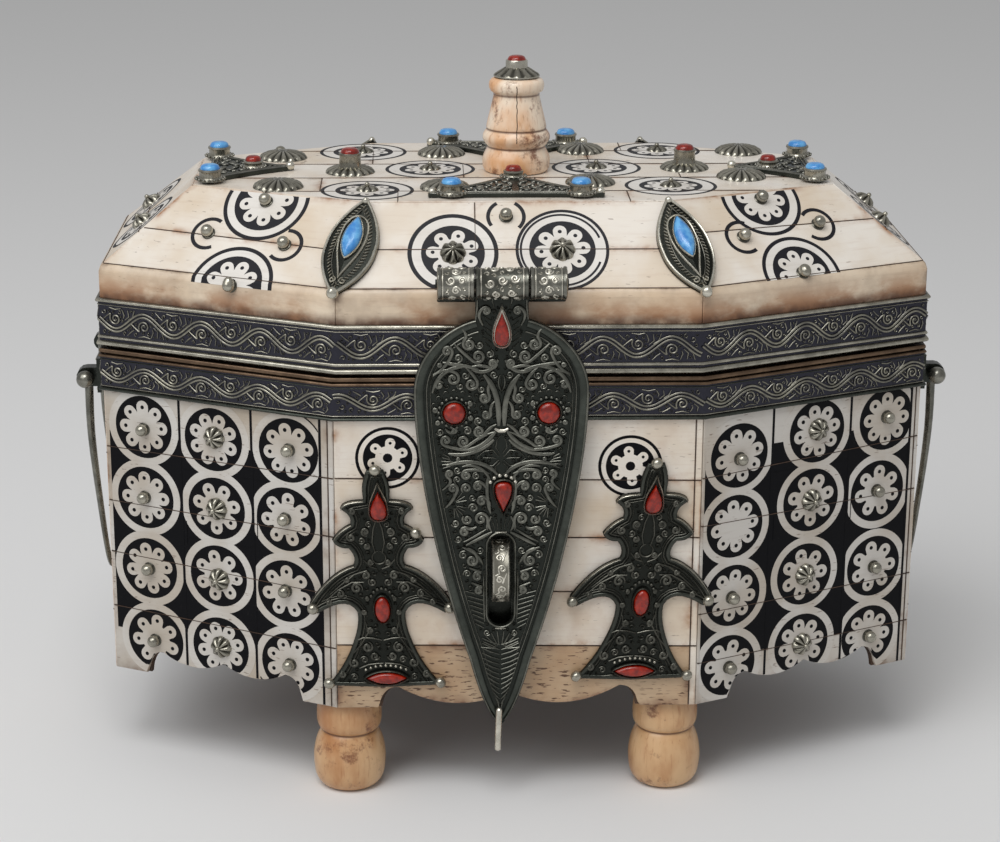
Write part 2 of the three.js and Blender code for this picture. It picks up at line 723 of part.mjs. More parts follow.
const slopeStart = creaseInset + slopeStartInset;
const ridgeLow = new THREE.Vector3(...corner(lidPlan, 0, slopeStart), creaseHeight + slopeStartRise);
const ridgeHigh = new THREE.Vector3(...corner(plateauPlan, 0), plateauHeight);
const mountLow = ridgeLow.clone().sub(ridgeHigh).setLength(mountLength - ridgeLow.distanceTo(ridgeHigh) - 1);
mountLow.add(ridgeLow);
function slopeNormal(k) {
  const [a, b] = [corner(lidPlan, k, slopeStart), corner(lidPlan, k + 1, slopeStart)];
  const along = new THREE.Vector3(b[0] - a[0], b[1] - a[1], 0);
  const c = corner(plateauPlan, k);
  const up = new THREE.Vector3(c[0] - a[0], c[1] - a[1], slopeHeight - slopeStartRise);
  return along.cross(up).normalize();
}
// Corner 0 lies between the front slope (side 7) and the front right slope (side 0).
const ridgeNormal = slopeNormal(7).add(slopeNormal(0)).normalize();
const ridgeFold = Math.tan(slopeNormal(7).angleTo(slopeNormal(0)) / 2);
const ridgeAlong = ridgeHigh.clone().sub(ridgeLow).normalize();
const ridgeAcross = ridgeAlong.clone().cross(ridgeNormal).normalize();
const ridgeUp = ridgeAcross.clone().cross(ridgeAlong).normalize();
const mountMiddle = mountLow.clone().addScaledVector(ridgeAlong, mountLength / 2 - 0.5);
const mountFrame = new THREE.Matrix4()
  .makeBasis(ridgeAcross, ridgeAlong, ridgeUp)
  .setPosition(mountMiddle.addScaledVector(ridgeUp, fit + 0.1));

const mountBase = join(
  mountHalf(1, ridgeFold, mountHalfWidth, mountLength / 2, 0, mountThickness),
  mountHalf(-1, ridgeFold, mountHalfWidth, mountLength / 2, 0, mountThickness),
  stretchedSphere([2.3, 2.3, 2.3], [0, -mountLength / 2 + 0.6, 2.6], 8),
);
const mountStone = cabochon(4, 9.4, mountStoneRise, 16).translate(0, 0, mountThickness + fit);
mountBase.applyMatrix4(mountFrame);
mountStone.applyMatrix4(mountFrame);
for (const [end, flipY] of [["front", 1], ["back", -1]])
  for (const [side, flipX] of [["right", 1], ["left", -1]]) {
    const mirrored = (geometry) => facingOut(geometry.clone().scale(flipX, flipY, 1));
    place(end + "_" + side + "_marquise_mount", mirrored(mountBase), metal());
    place(end + "_" + side + "_turquoise", mirrored(mountStone), turquoise());
  }

// Triangular plates on the plateau, their settings for three stones as part of the plate
// Each has its base near the plateau's edge, its apex towards the finial and a stone at each base corner.
const frontPlatePlan = {
  base: plateauHalfDepth - 5.35,
  apex: finialRadius + 1.5,
  half: frontPlateHalf,
  stone: [frontPlateHalf - 8, 2.3],
  crown: 5,
};
const endPlatePlan = {
  base: plateauHalfLength - 3.7,
  apex: plateauHalfLength - 3.7 - endPlateDepth,
  half: plateauEndHalf - 0.8,
  stone: [plateauEndHalf - 3.8, 2.8],
  crown: 15,
};
function plateauPlate({ base, apex, half, stone: [stoneX, stoneInset], crown }) {
  const shape = new THREE.Shape();
  shape.moveTo(-half, -base);
  shape.quadraticCurveTo(0, -base + 1.5, half, -base);
  shape.quadraticCurveTo(half + 1.5, -base + 3, half - 3, -base + 4.4);
  shape.quadraticCurveTo(half * 0.3, -base + (base - apex) * 0.55, 0, -apex);
  shape.quadraticCurveTo(-half * 0.3, -base + (base - apex) * 0.55, -half + 3, -base + 4.4);
  shape.quadraticCurveTo(-half - 1.5, -base + 3, -half, -base);
  const options = { depth: plateThickness, bevelEnabled: false, curveSegments: 4 };
  const plate = new THREE.ExtrudeGeometry(shape, options);
  const cups = [
    [-stoneX, base - stoneInset, 4.2, 4.7],
    [stoneX, base - stoneInset, 4.2, 4.7],
    [0, apex + crown, 3.6, 3.5],
  ].map(([x, y, radius, rise]) => {
    const cup = new THREE.CylinderGeometry(radius, radius + 0.4, rise, 16).rotateX(Math.PI / 2);
    return cup.translate(x, -y, rise / 2);
  });
  return join(plate, ...cups).translate(0, 0, plateauHeight + fit);
}
for (const [name, outline, turn] of [
  ["front", frontPlatePlan, 0],
  ["back", frontPlatePlan, Math.PI],
  ["right", endPlatePlan, Math.PI / 2],
  ["left", endPlatePlan, -Math.PI / 2],
])
  place(name + "_plateau_plate", plateauPlate(outline).rotateZ(turn), metal());

// Hasp hinge on the lid: a plate with two knuckles, and the pin that the hasp swings on
const haspAxisY = -(halfDepth + beadReach + haspStandoff + haspSetback);
const barrelLeft = haspMiddle - haspBarrelLength / 2;
const barrelRight = haspMiddle + haspBarrelLength / 2;
const neckLeft = haspMiddle - haspNeckWidth / 2;
const neckRight = haspMiddle + haspNeckWidth / 2;
const onHaspAxis = (radius, from, to, sides) => rodX(radius, from, to, haspAxisY, haspAxisHeight, sides);
const haspBore = onHaspAxis(pinRadius + pinClearance, barrelLeft - 1, barrelRight + 1, 12);
const hingePlateFront = -halfDepth - plateThickness;
const lugTop = haspAxisHeight - 1;
const lugBottom = creaseHeight - 3;
const lugs = [
  [barrelLeft, neckLeft - fit],
  [neckRight + fit, barrelRight],
].map(([from, to]) =>
  join(
    box([from, haspAxisY, lugBottom], [to, -halfDepth - fit, lugTop]),
    onHaspAxis(haspBarrelRadius, from, to, 20),
  ),
);
const hingeBack = box(
  [barrelLeft, hingePlateFront, creaseHeight - hingePlateDrop],
  [barrelRight, -halfDepth - fit, creaseHeight - 1],
);
place("hasp_hinge", cut(join(hingeBack, ...lugs), haspBore), metal());
place("hasp_pin", onHaspAxis(pinRadius, barrelLeft - 0.6, barrelRight + 0.6, 12), metal());

// Hasp: a drop-shaped plate on the middle knuckle, with a slot for the staple and cups for its corals
function haspShape() {
  const half = haspWidth / 2;
  const neck = haspNeckWidth / 2;
  const shape = new THREE.Shape();
  shape.moveTo(-neck, haspAxisHeight);
  shape.lineTo(-neck, haspShoulder);
  shape.bezierCurveTo(-neck - 9, haspShoulder - 2, -half, haspWidest + 14, -half, haspWidest);
  shape.bezierCurveTo(-half, haspWidest - 22, -half * 0.78, haspWidest - 62, -11, haspTip + 26);
  shape.quadraticCurveTo(-6, haspTip + 6, 0, haspTip);
  shape.quadraticCurveTo(6, haspTip + 6, 11, haspTip + 26);
  shape.bezierCurveTo(half * 0.78, haspWidest - 62, half, haspWidest - 22, half, haspWidest);
  shape.bezierCurveTo(half, haspWidest + 14, neck + 9, haspShoulder - 2, neck, haspShoulder);
  shape.lineTo(neck, haspAxisHeight);
  const slot = new THREE.Path();
  const radius = slotWidth / 2;
  slot.absarc(0, slotTop - radius, radius, 0, Math.PI, false);
  slot.absarc(0, slotBottom + radius, radius, Math.PI, 2 * Math.PI, false);
  shape.holes.push(slot);
  return shape;
}
const haspBack = haspAxisY + haspSetback;
const haspFront = haspBack - haspThickness;
const cupDepth = haspThickness + 1.6;
function coralCup(x, drop, rx, rz) {
  const cup = new THREE.CylinderGeometry(1, 1, cupDepth, 16).scale(rx, 1, rz);
  return cup.translate(haspMiddle + x, haspBack - cupDepth / 2, haspAxisHeight - drop);
}
const haspPlate = frontPlate(haspShape(), haspThickness, haspBack, 10).translate(haspMiddle, 0, 0);
const knuckle = onHaspAxis(haspBarrelRadius, neckLeft, neckRight, 20);
const cups = [
  coralCup(0, coralDrops.top, 3.4, 6),
  coralCup(-coralSpread, coralDrops.pair, 4.2, 4.2),
  coralCup(coralSpread, coralDrops.pair, 4.2, 4.2),
  coralCup(0.6, coralDrops.middle, 3, 5.6),
];
place("hasp", cut(join(haspPlate, knuckle, ...cups), haspBore), metal());
const haspStone = cabochon(2.9, 5.4, 1.6, 14).rotateX(Math.PI / 2);
haspStone.translate(haspMiddle, haspBack - cupDepth - fit, haspAxisHeight - coralDrops.top);
place("hasp_coral", haspStone, coral());

// Bent wire hung on the hasp's tip
const wireRadius = 1.2;
const wirePath = new THREE.CatmullRomCurve3(
  [
    [haspMiddle - 0.4, haspFront - fit - wireRadius, haspTip + 9],
    [haspMiddle - 0.6, haspFront - fit - wireRadius - 0.2, haspTip + 2],
    [haspMiddle - 0.8, haspFront - fit - wireRadius - 0.4, haspTip - 4],
    [haspMiddle - 0.8, haspFront - fit - wireRadius, haspTip - 9.6],
  ].map((point) => new THREE.Vector3(...point)),
);
const wireSection = new THREE.Shape();
wireSection.absarc(0, 0, wireRadius, 0, 2 * Math.PI, false);
const wireOptions = { steps: 8, extrudePath: wirePath, curveSegments: 4 };
place("hasp_wire", new THREE.ExtrudeGeometry(wireSection, wireOptions), metal());

export default model;
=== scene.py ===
import math
import random
import bmesh
import bpy
import numpy as np
from mathutils import Matrix, Vector
from mathutils.kdtree import KDTree


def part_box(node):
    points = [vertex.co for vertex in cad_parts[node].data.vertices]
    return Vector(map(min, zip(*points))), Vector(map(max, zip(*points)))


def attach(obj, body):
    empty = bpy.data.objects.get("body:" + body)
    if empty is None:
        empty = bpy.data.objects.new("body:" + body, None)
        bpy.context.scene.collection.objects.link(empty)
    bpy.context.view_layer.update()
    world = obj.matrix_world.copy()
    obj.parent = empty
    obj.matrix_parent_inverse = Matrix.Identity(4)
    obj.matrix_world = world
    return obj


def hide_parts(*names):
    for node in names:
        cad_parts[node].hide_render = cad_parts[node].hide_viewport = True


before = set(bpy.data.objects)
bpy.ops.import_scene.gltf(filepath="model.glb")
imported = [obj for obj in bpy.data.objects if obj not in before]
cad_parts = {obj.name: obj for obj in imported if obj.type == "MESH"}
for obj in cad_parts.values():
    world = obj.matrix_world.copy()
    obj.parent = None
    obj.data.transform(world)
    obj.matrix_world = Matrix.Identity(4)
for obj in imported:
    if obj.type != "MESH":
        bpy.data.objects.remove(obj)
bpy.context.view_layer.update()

MM = 0.001
FIT = 0.3  # clearance between pieces that touch
scene = bpy.context.scene
scene.view_settings.view_transform = "Standard"

# Sizes in millimetres, read from the frame


def span(node):
    """Lowest and highest corner of a node, in millimetres."""
    low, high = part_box(node)
    return Vector(low) / MM, Vector(high) / MM


panel_low, panel_high = span("front_bone_panel")
half_depth, leg_bottom, front_half = -panel_low.y, panel_low.z, panel_high.x + FIT / 2
end_low, end_high = span("right_bone_panel")
half_length, end_half = end_high.x, end_high.y + FIT / 2
bone_thickness = end_high.x - end_low.x
band_bottom, band_top = (corner.z for corner in span("base_band"))
rim_bottom, rim_top = (corner.z for corner in span("rim_strip"))
lid_bottom, lid_band_top = (corner.z for corner in span("lid_band"))
lid_front_half = span("lid_front_bone_panel")[1].x + FIT / 2
plateau_low, plateau_high = span("lid_top_bone_panel")
plateau_height = plateau_high.z
CREASE_RISE = 12.4  # from the lid band to the crease
CREASE_INSET = 1.6
SLOPE_START = (0.9, 0.6)  # further in and up from the crease
PLATEAU_BEVEL = 0.5
crease_height = lid_band_top + CREASE_RISE

wall_plan = {"length": half_length, "depth": half_depth, "front": front_half, "end": end_half}
lid_plan = dict(wall_plan, front=lid_front_half)
plateau_plan = {
    "length": plateau_high.x + PLATEAU_BEVEL,
    "depth": plateau_high.y + PLATEAU_BEVEL,
    "front": 52.5,
    "end": 25.8,
}
SIDE_NAMES = ["front_right", "right", "back_right", "back", "back_left", "left", "front_left", "front"]


def corner(plan, k, inset=0.0):
    """Corner k of an eight-sided plan, anticlockwise from the front right, moved in by inset."""
    run = math.hypot(plan["depth"] - plan["end"], plan["length"] - plan["front"])
    nx = (plan["depth"] - plan["end"]) / run
    ny = (plan["length"] - plan["front"]) / run
    front = plan["front"] - inset * (1 - ny) / nx
    end = plan["end"] - inset * (1 - nx) / ny
    length, depth = plan["length"] - inset, plan["depth"] - inset
    places = [
        (front, -depth), (length, -end), (length, end), (front, depth),
        (-front, depth), (-length, end), (-length, -end), (-front, -depth),
    ]
    return Vector(places[k % 8])


# Surfaces: each turns a place (x, y) and a height over it into a point in space


class Face:
    """A flat face with its own origin and axes."""

    def __init__(self, origin, along, upward):
        self.origin, self.along, self.upward = Vector(origin), Vector(along), Vector(upward)
        self.out = self.along.cross(self.upward)
        self.folds = []

    def at(self, x, y, height=0.0):
        return self.origin + self.along * x + self.upward * y + self.out * height


class Side:
    """One side of an eight-sided shell, folded at its levels. Level heights are measured along it."""

    def __init__(self, k, levels, first):
        ends = [(corner(plan, k, inset), corner(plan, k + 1, inset), z) for plan, inset, z in levels]
        start = ends[0]
        along = (start[1] - start[0]).normalized()
        self.along = along.to_3d()
        outward = Vector((along.y, -along.x))
        middle = (ends[-2][0] + ends[-2][1]) / 2
        self.origin = (middle - outward * outward.dot(middle)).to_3d()
        self.outward = outward.to_3d()
        self.profile = [Vector((outward.dot(a), z)) for a, b, z in ends]
        self.left = [along.dot(a - middle) for a, b, z in ends]
        self.right = [along.dot(b - middle) for a, b, z in ends]
        self.levels = [first]
        for i in range(1, len(levels)):
            self.levels.append(self.levels[-1] + (self.profile[i] - self.profile[i - 1]).length)
        self.folds = self.levels[1:-1]
        steps = [(b - a).normalized() for a, b in zip(self.profile, self.profile[1:])]
        normals = [Vector((step.y, -step.x)) for step in steps]
        self.normals = [normals[0]]
        for before, after in zip(normals, normals[1:]):
            mitre = (before + after).normalized()
            self.normals.append(mitre / mitre.dot(after))
        self.normals.append(normals[-1])

    def share(self, y):
        last = len(self.levels) - 2
        i = next((i for i in range(last) if y <= self.levels[i + 1]), last)
        return i, (y - self.levels[i]) / (self.levels[i + 1] - self.levels[i])

    def at(self, x, y, height=0.0):
        i, t = self.share(y)
        normal = self.normals[i].lerp(self.normals[i + 1], t)
        out, z = self.profile[i].lerp(self.profile[i + 1], t) + normal * height
        point = self.origin + self.along * x + self.outward * out
        return Vector((point.x, point.y, z))

    def edges(self, y):
        i, t = self.share(y)
        return [side[i] * (1 - t) + side[i + 1] * t for side in (self.left, self.right)]


class Ridge:
    """The surface over the fold between two slopes: x across it, y along it."""

    def __init__(self, middle, across, along, out, fold):
        self.middle, self.across, self.along, self.out, self.fold = middle, across, along, out, fold
        self.folds = []

    def at(self, x, y, height=0.0):
        return self.middle + self.across * x + self.along * y + self.out * (height - abs(x) * self.fold)


# Collecting solids into pieces


drawn = {}  # the places that lines and stones take on each surface


def mark(surface, path):
    """Notes the places that a line takes on a surface."""
    taken = drawn.setdefault(surface, [])
    for a, b in zip(path, path[1:]):
        count = max(1, round(math.dist(a, b) / 0.5))
        taken += [(a[0] + (b[0] - a[0]) * i / count, a[1] + (b[1] - a[1]) * i / count) for i in range(count)]


class Pile:
    """Collects closed solids and makes one piece of them."""

    def __init__(self, name, body, slot, *materials):
        self.name, self.body, self.slot, self.materials = name, body, slot, materials
        self.points, self.faces, self.paints, self.tones, self.stains = [], [], [], [], []

    def add(self, points, faces, paint=0, tone=0.5, stain=0.0):
        start = len(self.points)
        self.points += points
        self.faces += [[start + i for i in face] for face in faces]
        self.paints += [paint] * len(faces)
        self.tones += tone if isinstance(tone, list) else [tone] * len(points)
        self.stains += stain if isinstance(stain, list) else [stain] * len(points)

    def piece(self, *replaced, sharp=38):
        mesh = bpy.data.meshes.new(self.name)
        mesh.from_pydata([point * MM for point in self.points], [], self.faces)
        for material in self.materials:
            mesh.materials.append(material)
        mesh.polygons.foreach_set("material_index", self.paints)
        for name, values in (("tone", self.tones), ("stain", self.stains)):
            mesh.attributes.new(name, "FLOAT", "POINT").data.foreach_set("value", values)
        cleaned = bmesh.new()
        cleaned.from_mesh(mesh)
        bmesh.ops.recalc_face_normals(cleaned, faces=cleaned.faces)
        cleaned.to_mesh(mesh)
        cleaned.free()
        mesh.shade_smooth()
        mesh.set_sharp_from_angle(angle=math.radians(sharp))
        made = bpy.data.objects.new(self.name, mesh)
        scene.collection.objects.link(made)
        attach(made, self.body)
        if replaced:
            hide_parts(*replaced)
        return made


def clipped(outline, axis, limit, sign):
    """What is left of an outline on one side of a straight line."""
    kept = []
    for i, point in enumerate(outline):
        before = outline[i - 1]
        a, b = sign * (before[axis] - limit), sign * (point[axis] - limit)
        if (a > 0) != (b > 0):
            t = a / (a - b)
            kept.append((before[0] + (point[0] - before[0]) * t, before[1] + (point[1] - before[1]) * t))
        if b > 0:
            kept.append(point)
    return kept


def plate(pile, surface, outline, low, high, paint=0, tone=0.5, stain=0.0):
    """A thin closed plate with this outline, split where its surface folds."""
    limits = [-math.inf, *surface.folds, math.inf]
    for bottom, top in zip(limits, limits[1:]):
        part = outline
        if bottom > -math.inf:
            part = clipped(part, 1, bottom, 1)
        if top < math.inf:
            part = clipped(part, 1, top, -1)
        n = len(part)
        if n < 3:
            continue
        points = [surface.at(x, y, height) for height in (low, high) for x, y in part]
        sides = [(i, (i + 1) % n, n + (i + 1) % n, n + i) for i in range(n)]
        pile.add(points, [list(range(n))[::-1], list(range(n, 2 * n)), *sides], paint, tone, stain)


def mirrored(outline):
    return [(-x, *rest) for x, *rest in outline]


def sided(path, sign):
    """A path, or its mirror image where sign is negative."""
    return mirrored(path) if sign < 0 else path


def whole(outline):
    """Keeps all of an outline."""
    return outline


def circle(x, y, radius, count=40, stretch=1.0):
    steps = [2 * math.pi * i / count for i in range(count)]
    return [(x + radius * math.cos(a), y + radius * stretch * math.sin(a)) for a in steps]


def arc(x, y, radius, start, end, count=24):
    """Points along an arc between two angles in degrees."""
    steps = [math.radians(start + (end - start) * i / count) for i in range(count + 1)]
    return [(x + radius * math.cos(a), y + radius * math.sin(a)) for a in steps]


def bezier(a, b, c, d, count=12):
    """Points on a cubic curve, without its last."""
    made = []
    for i in range(count):
        t = i / count
        weights = ((1 - t) ** 3, 3 * t * (1 - t) ** 2, 3 * t * t * (1 - t), t**3)
        made.append(tuple(sum(w * p[j] for w, p in zip(weights, (a, b, c, d))) for j in (0, 1)))
    return made


def quadratic(a, b, c, count=8):
    """Points on a quadratic curve, without its last."""
    first = [a[j] + (b[j] - a[j]) * 2 / 3 for j in (0, 1)]
    second = [c[j] + (b[j] - c[j]) * 2 / 3 for j in (0, 1)]
    return bezier(a, first, second, c, count)


def normals_of(path, closed=False):
    """Unit vectors to the left of a path, one for each point."""
    made = []
    n = len(path)
    for i in range(n):
        before = path[i - 1] if i or closed else path[i]
        after = path[(i + 1) % n] if i < n - 1 or closed else path[i]
        dx, dy = after[0] - before[0], after[1] - before[1]
        size = math.hypot(dx, dy) or 1
        made.append((-dy / size, dx / size))
    return made


def offset(path, distance, closed=True):
    """A path moved to its left."""
    normals = normals_of(path, closed)
    return [(x + nx * distance, y + ny * distance) for (x, y), (nx, ny) in zip(path, normals)]


# Sections of raised lines, as shares of their width and height
ROUND = [(-0.5, -0.2), (-0.47, 0.4), (-0.3, 0.82), (0, 1), (0.3, 0.82), (0.47, 0.4), (0.5, -0.2)]
SHARP = [(-0.5, -0.2), (-0.3, 0.35), (-0.1, 0.9), (0, 1), (0.1, 0.9), (0.3, 0.35), (0.5, -0.2)]
LIGHT = [(-0.5, -0.2), (-0.34, 0.62), (0, 1), (0.34, 0.62), (0.5, -0.2)]


def quads(rings, count, closed=False):
    """Four-sided faces between rings of points. A closed run joins its last ring to its first."""
    faces = []
    for ring in range(rings if closed else rings - 1):
        here, there = ring * count, (ring + 1) % rings * count
        pairs = zip(range(count), [*range(1, count), 0])
        faces += [(here + i, here + j, there + j, there + i) for i, j in pairs]
    return faces


def capped(rings, count):
    """Faces of a run of rings that is closed at both ends."""
    return [list(range(count))[::-1], list(range((rings - 1) * count, rings * count)), *quads(rings, count)]


def ridge(
    pile, surface, path, width, height, paint=0, closed=False, section=ROUND, taper=(0.35, 0.35), base=0.0
):
    """A raised line along a path: its section stands on the surface and its ends taper."""
    mark(surface, path)
    n, m = len(path), len(section)
    points, tones = [], []
    for i, ((x, y), (nx, ny)) in enumerate(zip(path, normals_of(path, closed))):
        scale = 1.0
        if not closed:
            ends = max(2, n // 5)
            if i < ends:
                scale = taper[0] + (1 - taper[0]) * i / ends
            if n - 1 - i < ends:
                scale = min(scale, taper[1] + (1 - taper[1]) * (n - 1 - i) / ends)
        for across, rise in section:
            shift = across * width * scale
            level = base + (rise * height * (0.5 + scale / 2) if rise > 0 else rise)
            points.append(surface.at(x + nx * shift, y + ny * shift, level))
            tones.append(max(0.0, rise))
    faces = quads(n, m, closed)
    if not closed:
        faces += [list(range(m)), list(range((n - 1) * m, n * m))]
    pile.add(points, faces, paint, tones)


def scroll(x, y, radius, start, turns, tail=None, inner=0.2):
    """A path that may come in from a tail and winds into a spiral."""
    count = max(8, round(abs(turns) * 15))
    steps = [i / count for i in range(count + 1)]
    spiral = []
    for t in steps:
        angle = math.radians(start) + turns * 2 * math.pi * t
        reach = radius * (1 - (1 - inner) * t**0.85)
        spiral.append((x + reach * math.cos(angle), y + reach * math.sin(angle)))
    if tail is None:
        return spiral
    head = spiral[0]
    way = math.radians(start) + math.copysign(math.pi / 2, turns)
    pull = math.dist(tail, head) * 0.55
    handle = (head[0] - math.cos(way) * pull, head[1] - math.sin(way) * pull)
    near = (tail[0] + (handle[0] - tail[0]) * 0.4, tail[1] + (handle[1] - tail[1]) * 0.4)
    return bezier(tail, near, handle, head, 10) + spiral


def turned(pile, surface, x, y, profile, sides=24, flutes=0, depth=0.0, paint=0, tone=None):
    """A solid of revolution standing on a surface. With flutes its rings are waved."""
    points, tones, n = [], [], len(profile)
    for share in (1, 0.6, 0.2):
        mark(surface, circle(x, y, profile[0][0] * share, 12))
    for level, (radius, height) in enumerate(profile):
        fade = math.sin(math.pi * level / (n - 1)) if flutes else 0
        for i in range(sides):
            angle = 2 * math.pi * i / sides
            wave = abs(math.cos(flutes * angle / 2)) if flutes else 1.0
            reach = radius * (1 - depth * (1 - wave) * fade * 0.5)
            rise = height * (1 - depth * (1 - wave) * fade)
            points.append(surface.at(x + reach * math.cos(angle), y + reach * math.sin(angle), rise))
            tones.append(wave if tone is None else tone)
    pile.add(points, capped(n, sides), paint, tones)


def sweep(pile, plan, profile, paint, tones):
    """A moulding around an eight-sided plan. The profile is a closed outline of (proud, z)."""
    points = [Vector((*corner(plan, k, -proud), z)) for k in range(8) for proud, z in profile]
    pile.add(points, quads(8, len(profile), True), paint, tones * 8)


CHAMFER, STAIN_REACH, PLANK_DEPTH, JOINT = 0.22, 3.2, 1.2, 0.16


def plank(pile, surface, place, width, height, across=1, levels=(), paint=0, tone=0.5, wash=0.0):
    """A bone plank over the unit square that place maps to the surface, with a chamfer and stained edges."""
    cut, margin = CHAMFER / width, min(STAIN_REACH, width / 3) / width
    row_cut, row_margin = CHAMFER / height, min(STAIN_REACH, height / 3) / height
    columns = [0, cut, *(margin + (1 - 2 * margin) * i / across for i in range(across + 1)), 1 - cut, 1]
    rows = sorted({0, row_cut, row_margin, *levels, 1 - row_margin, 1 - row_cut, 1})
    nc, nr = len(columns), len(rows)
    points, stains = [], []
    for j, t in enumerate(rows):
        for i, s in enumerate(columns):
            rim = i in (0, nc - 1) or j in (0, nr - 1)
            points.append(surface.at(*place(s, t), -CHAMFER if rim else 0))
            near = i < 2 or i > nc - 3 or j < 2 or j > nr - 3
            stains.append(1.0 if near else wash)
    around = [*range(nc), *(j * nc + nc - 1 for j in range(1, nr))]
    around += [*range(nr * nc - 2, (nr - 1) * nc - 1, -1), *(j * nc for j in range(nr - 2, 0, -1))]
    n = len(around)
    for index in around:
        j, i = divmod(index, nc)
        points.append(surface.at(*place(columns[i], rows[j]), -PLANK_DEPTH))
        stains.append(1.0)
    faces = []
    for j in range(nr - 1):
        faces += [(j * nc + i, j * nc + i + 1, (j + 1) * nc + i + 1, (j + 1) * nc + i) for i in range(nc - 1)]
    base = nr * nc
    faces += [(around[i], base + i, base + (i + 1) % n, around[(i + 1) % n]) for i in range(n)]
    # The back is closed by a fan of quads between its two long edges.
    low, high = list(range(nc)), [2 * nc + nr - 3 - i for i in range(nc)]
    for i in range(nc - 1):
        faces.append((base + low[i], base + low[i + 1], base + high[i + 1], base + high[i]))
    left = [base + index for index in (0, *range(n - 1, n - nr + 1, -1), high[0])]
    right = [base + index for index in range(nc - 1, nc + nr - 1)]
    if nr > 2:
        faces.append(left)
        faces.append(right)
    pile.add(points, faces, paint, tone, stains)


# Materials


def linear(*colour):
    """A colour as it looks on a screen, 0 to 255, as the shader takes it."""
    return tuple(((c / 255 + 0.055) / 1.055) ** 2.4 if c > 10 else c / 3295 for c in colour) + (1.0,)


class Finish:
    """Builds the nodes of one material."""

    def __init__(self, name, roughness=0.5, metallic=0.0, coat=0.0):
        self.material = bpy.data.materials.new(name)
        self.material.use_nodes = True
        self.tree = self.material.node_tree
        self.shader = self.tree.nodes["Principled BSDF"]
        self.shader.inputs["Roughness"].default_value = roughness
        self.shader.inputs["Metallic"].default_value = metallic
        self.shader.inputs["Coat Weight"].default_value = coat
        self.shader.inputs["Coat Roughness"].default_value = 0.15
        self.place = self.node("ShaderNodeTexCoord").outputs["Object"]

    def node(self, kind, **settings):
        made = self.tree.nodes.new(kind)
        for key, value in settings.items():
            setattr(made, key, value)
        return made

    def put(self, value, socket):
        """Links an output to a socket, or gives the socket a number or a screen colour."""
        if hasattr(value, "is_output"):
            self.tree.links.new(value, socket)
        else:
            socket.default_value = linear(*value) if isinstance(value, tuple) else value

    def stretched(self, x, y, z):
        made = self.node("ShaderNodeMapping")
        self.put(self.place, made.inputs["Vector"])
        made.inputs["Scale"].default_value = (x, y, z)
        return made.outputs["Vector"]

    def noise(self, scale, detail=3.0, roughness=0.55, vector=None, distortion=0.0):
        """Grey noise whose features are about 1 / scale millimetres wide."""
        made = self.node("ShaderNodeTexNoise")
        self.put(vector or self.place, made.inputs["Vector"])
        made.inputs["Scale"].default_value = scale / MM
        made.inputs["Detail"].default_value = detail
        made.inputs["Roughness"].default_value = roughness
        made.inputs["Distortion"].default_value = distortion
        return made.outputs["Fac"]

    def ramp(self, value, low, high, start=0.0, end=1.0):
        made = self.node("ShaderNodeMapRange", interpolation_type="SMOOTHSTEP")
        self.put(value, made.inputs["Value"])
        made.inputs["From Min"].default_value, made.inputs["From Max"].default_value = low, high
        made.inputs["To Min"].default_value, made.inputs["To Max"].default_value = start, end
        return made.outputs["Result"]

    def maths(self, operation, a, b):
        made = self.node("ShaderNodeMath", operation=operation, use_clamp=True)
        self.put(a, made.inputs[0])
        self.put(b, made.inputs[1])
        return made.outputs[0]

    def times(self, value, *others):
        """The product of values, each step kept between 0 and 1."""
        for other in others:
            value = self.maths("MULTIPLY", value, other)
        return value

    def mix(self, share, a, b, blend="MIX"):
        made = self.node("ShaderNodeMix", data_type="RGBA", blend_type=blend)
        self.put(share, made.inputs[0])
        self.put(a, made.inputs[6])
        self.put(b, made.inputs[7])
        return made.outputs[2]

    def attribute(self, name):
        return self.node("ShaderNodeAttribute", attribute_name=name).outputs["Fac"]

    def done(self, colour, roughness=None, bump=None, strength=0.3, depth=0.1):
        self.put(colour, self.shader.inputs["Base Color"])
        if roughness is not None:
            self.put(roughness, self.shader.inputs["Roughness"])
        if bump is not None:
            made = self.node("ShaderNodeBump")
            made.inputs["Strength"].default_value = strength
            made.inputs["Distance"].default_value = depth * MM
            self.put(bump, made.inputs["Height"])
            self.tree.links.new(made.outputs["Normal"], self.shader.inputs["Normal"])
        return self.material


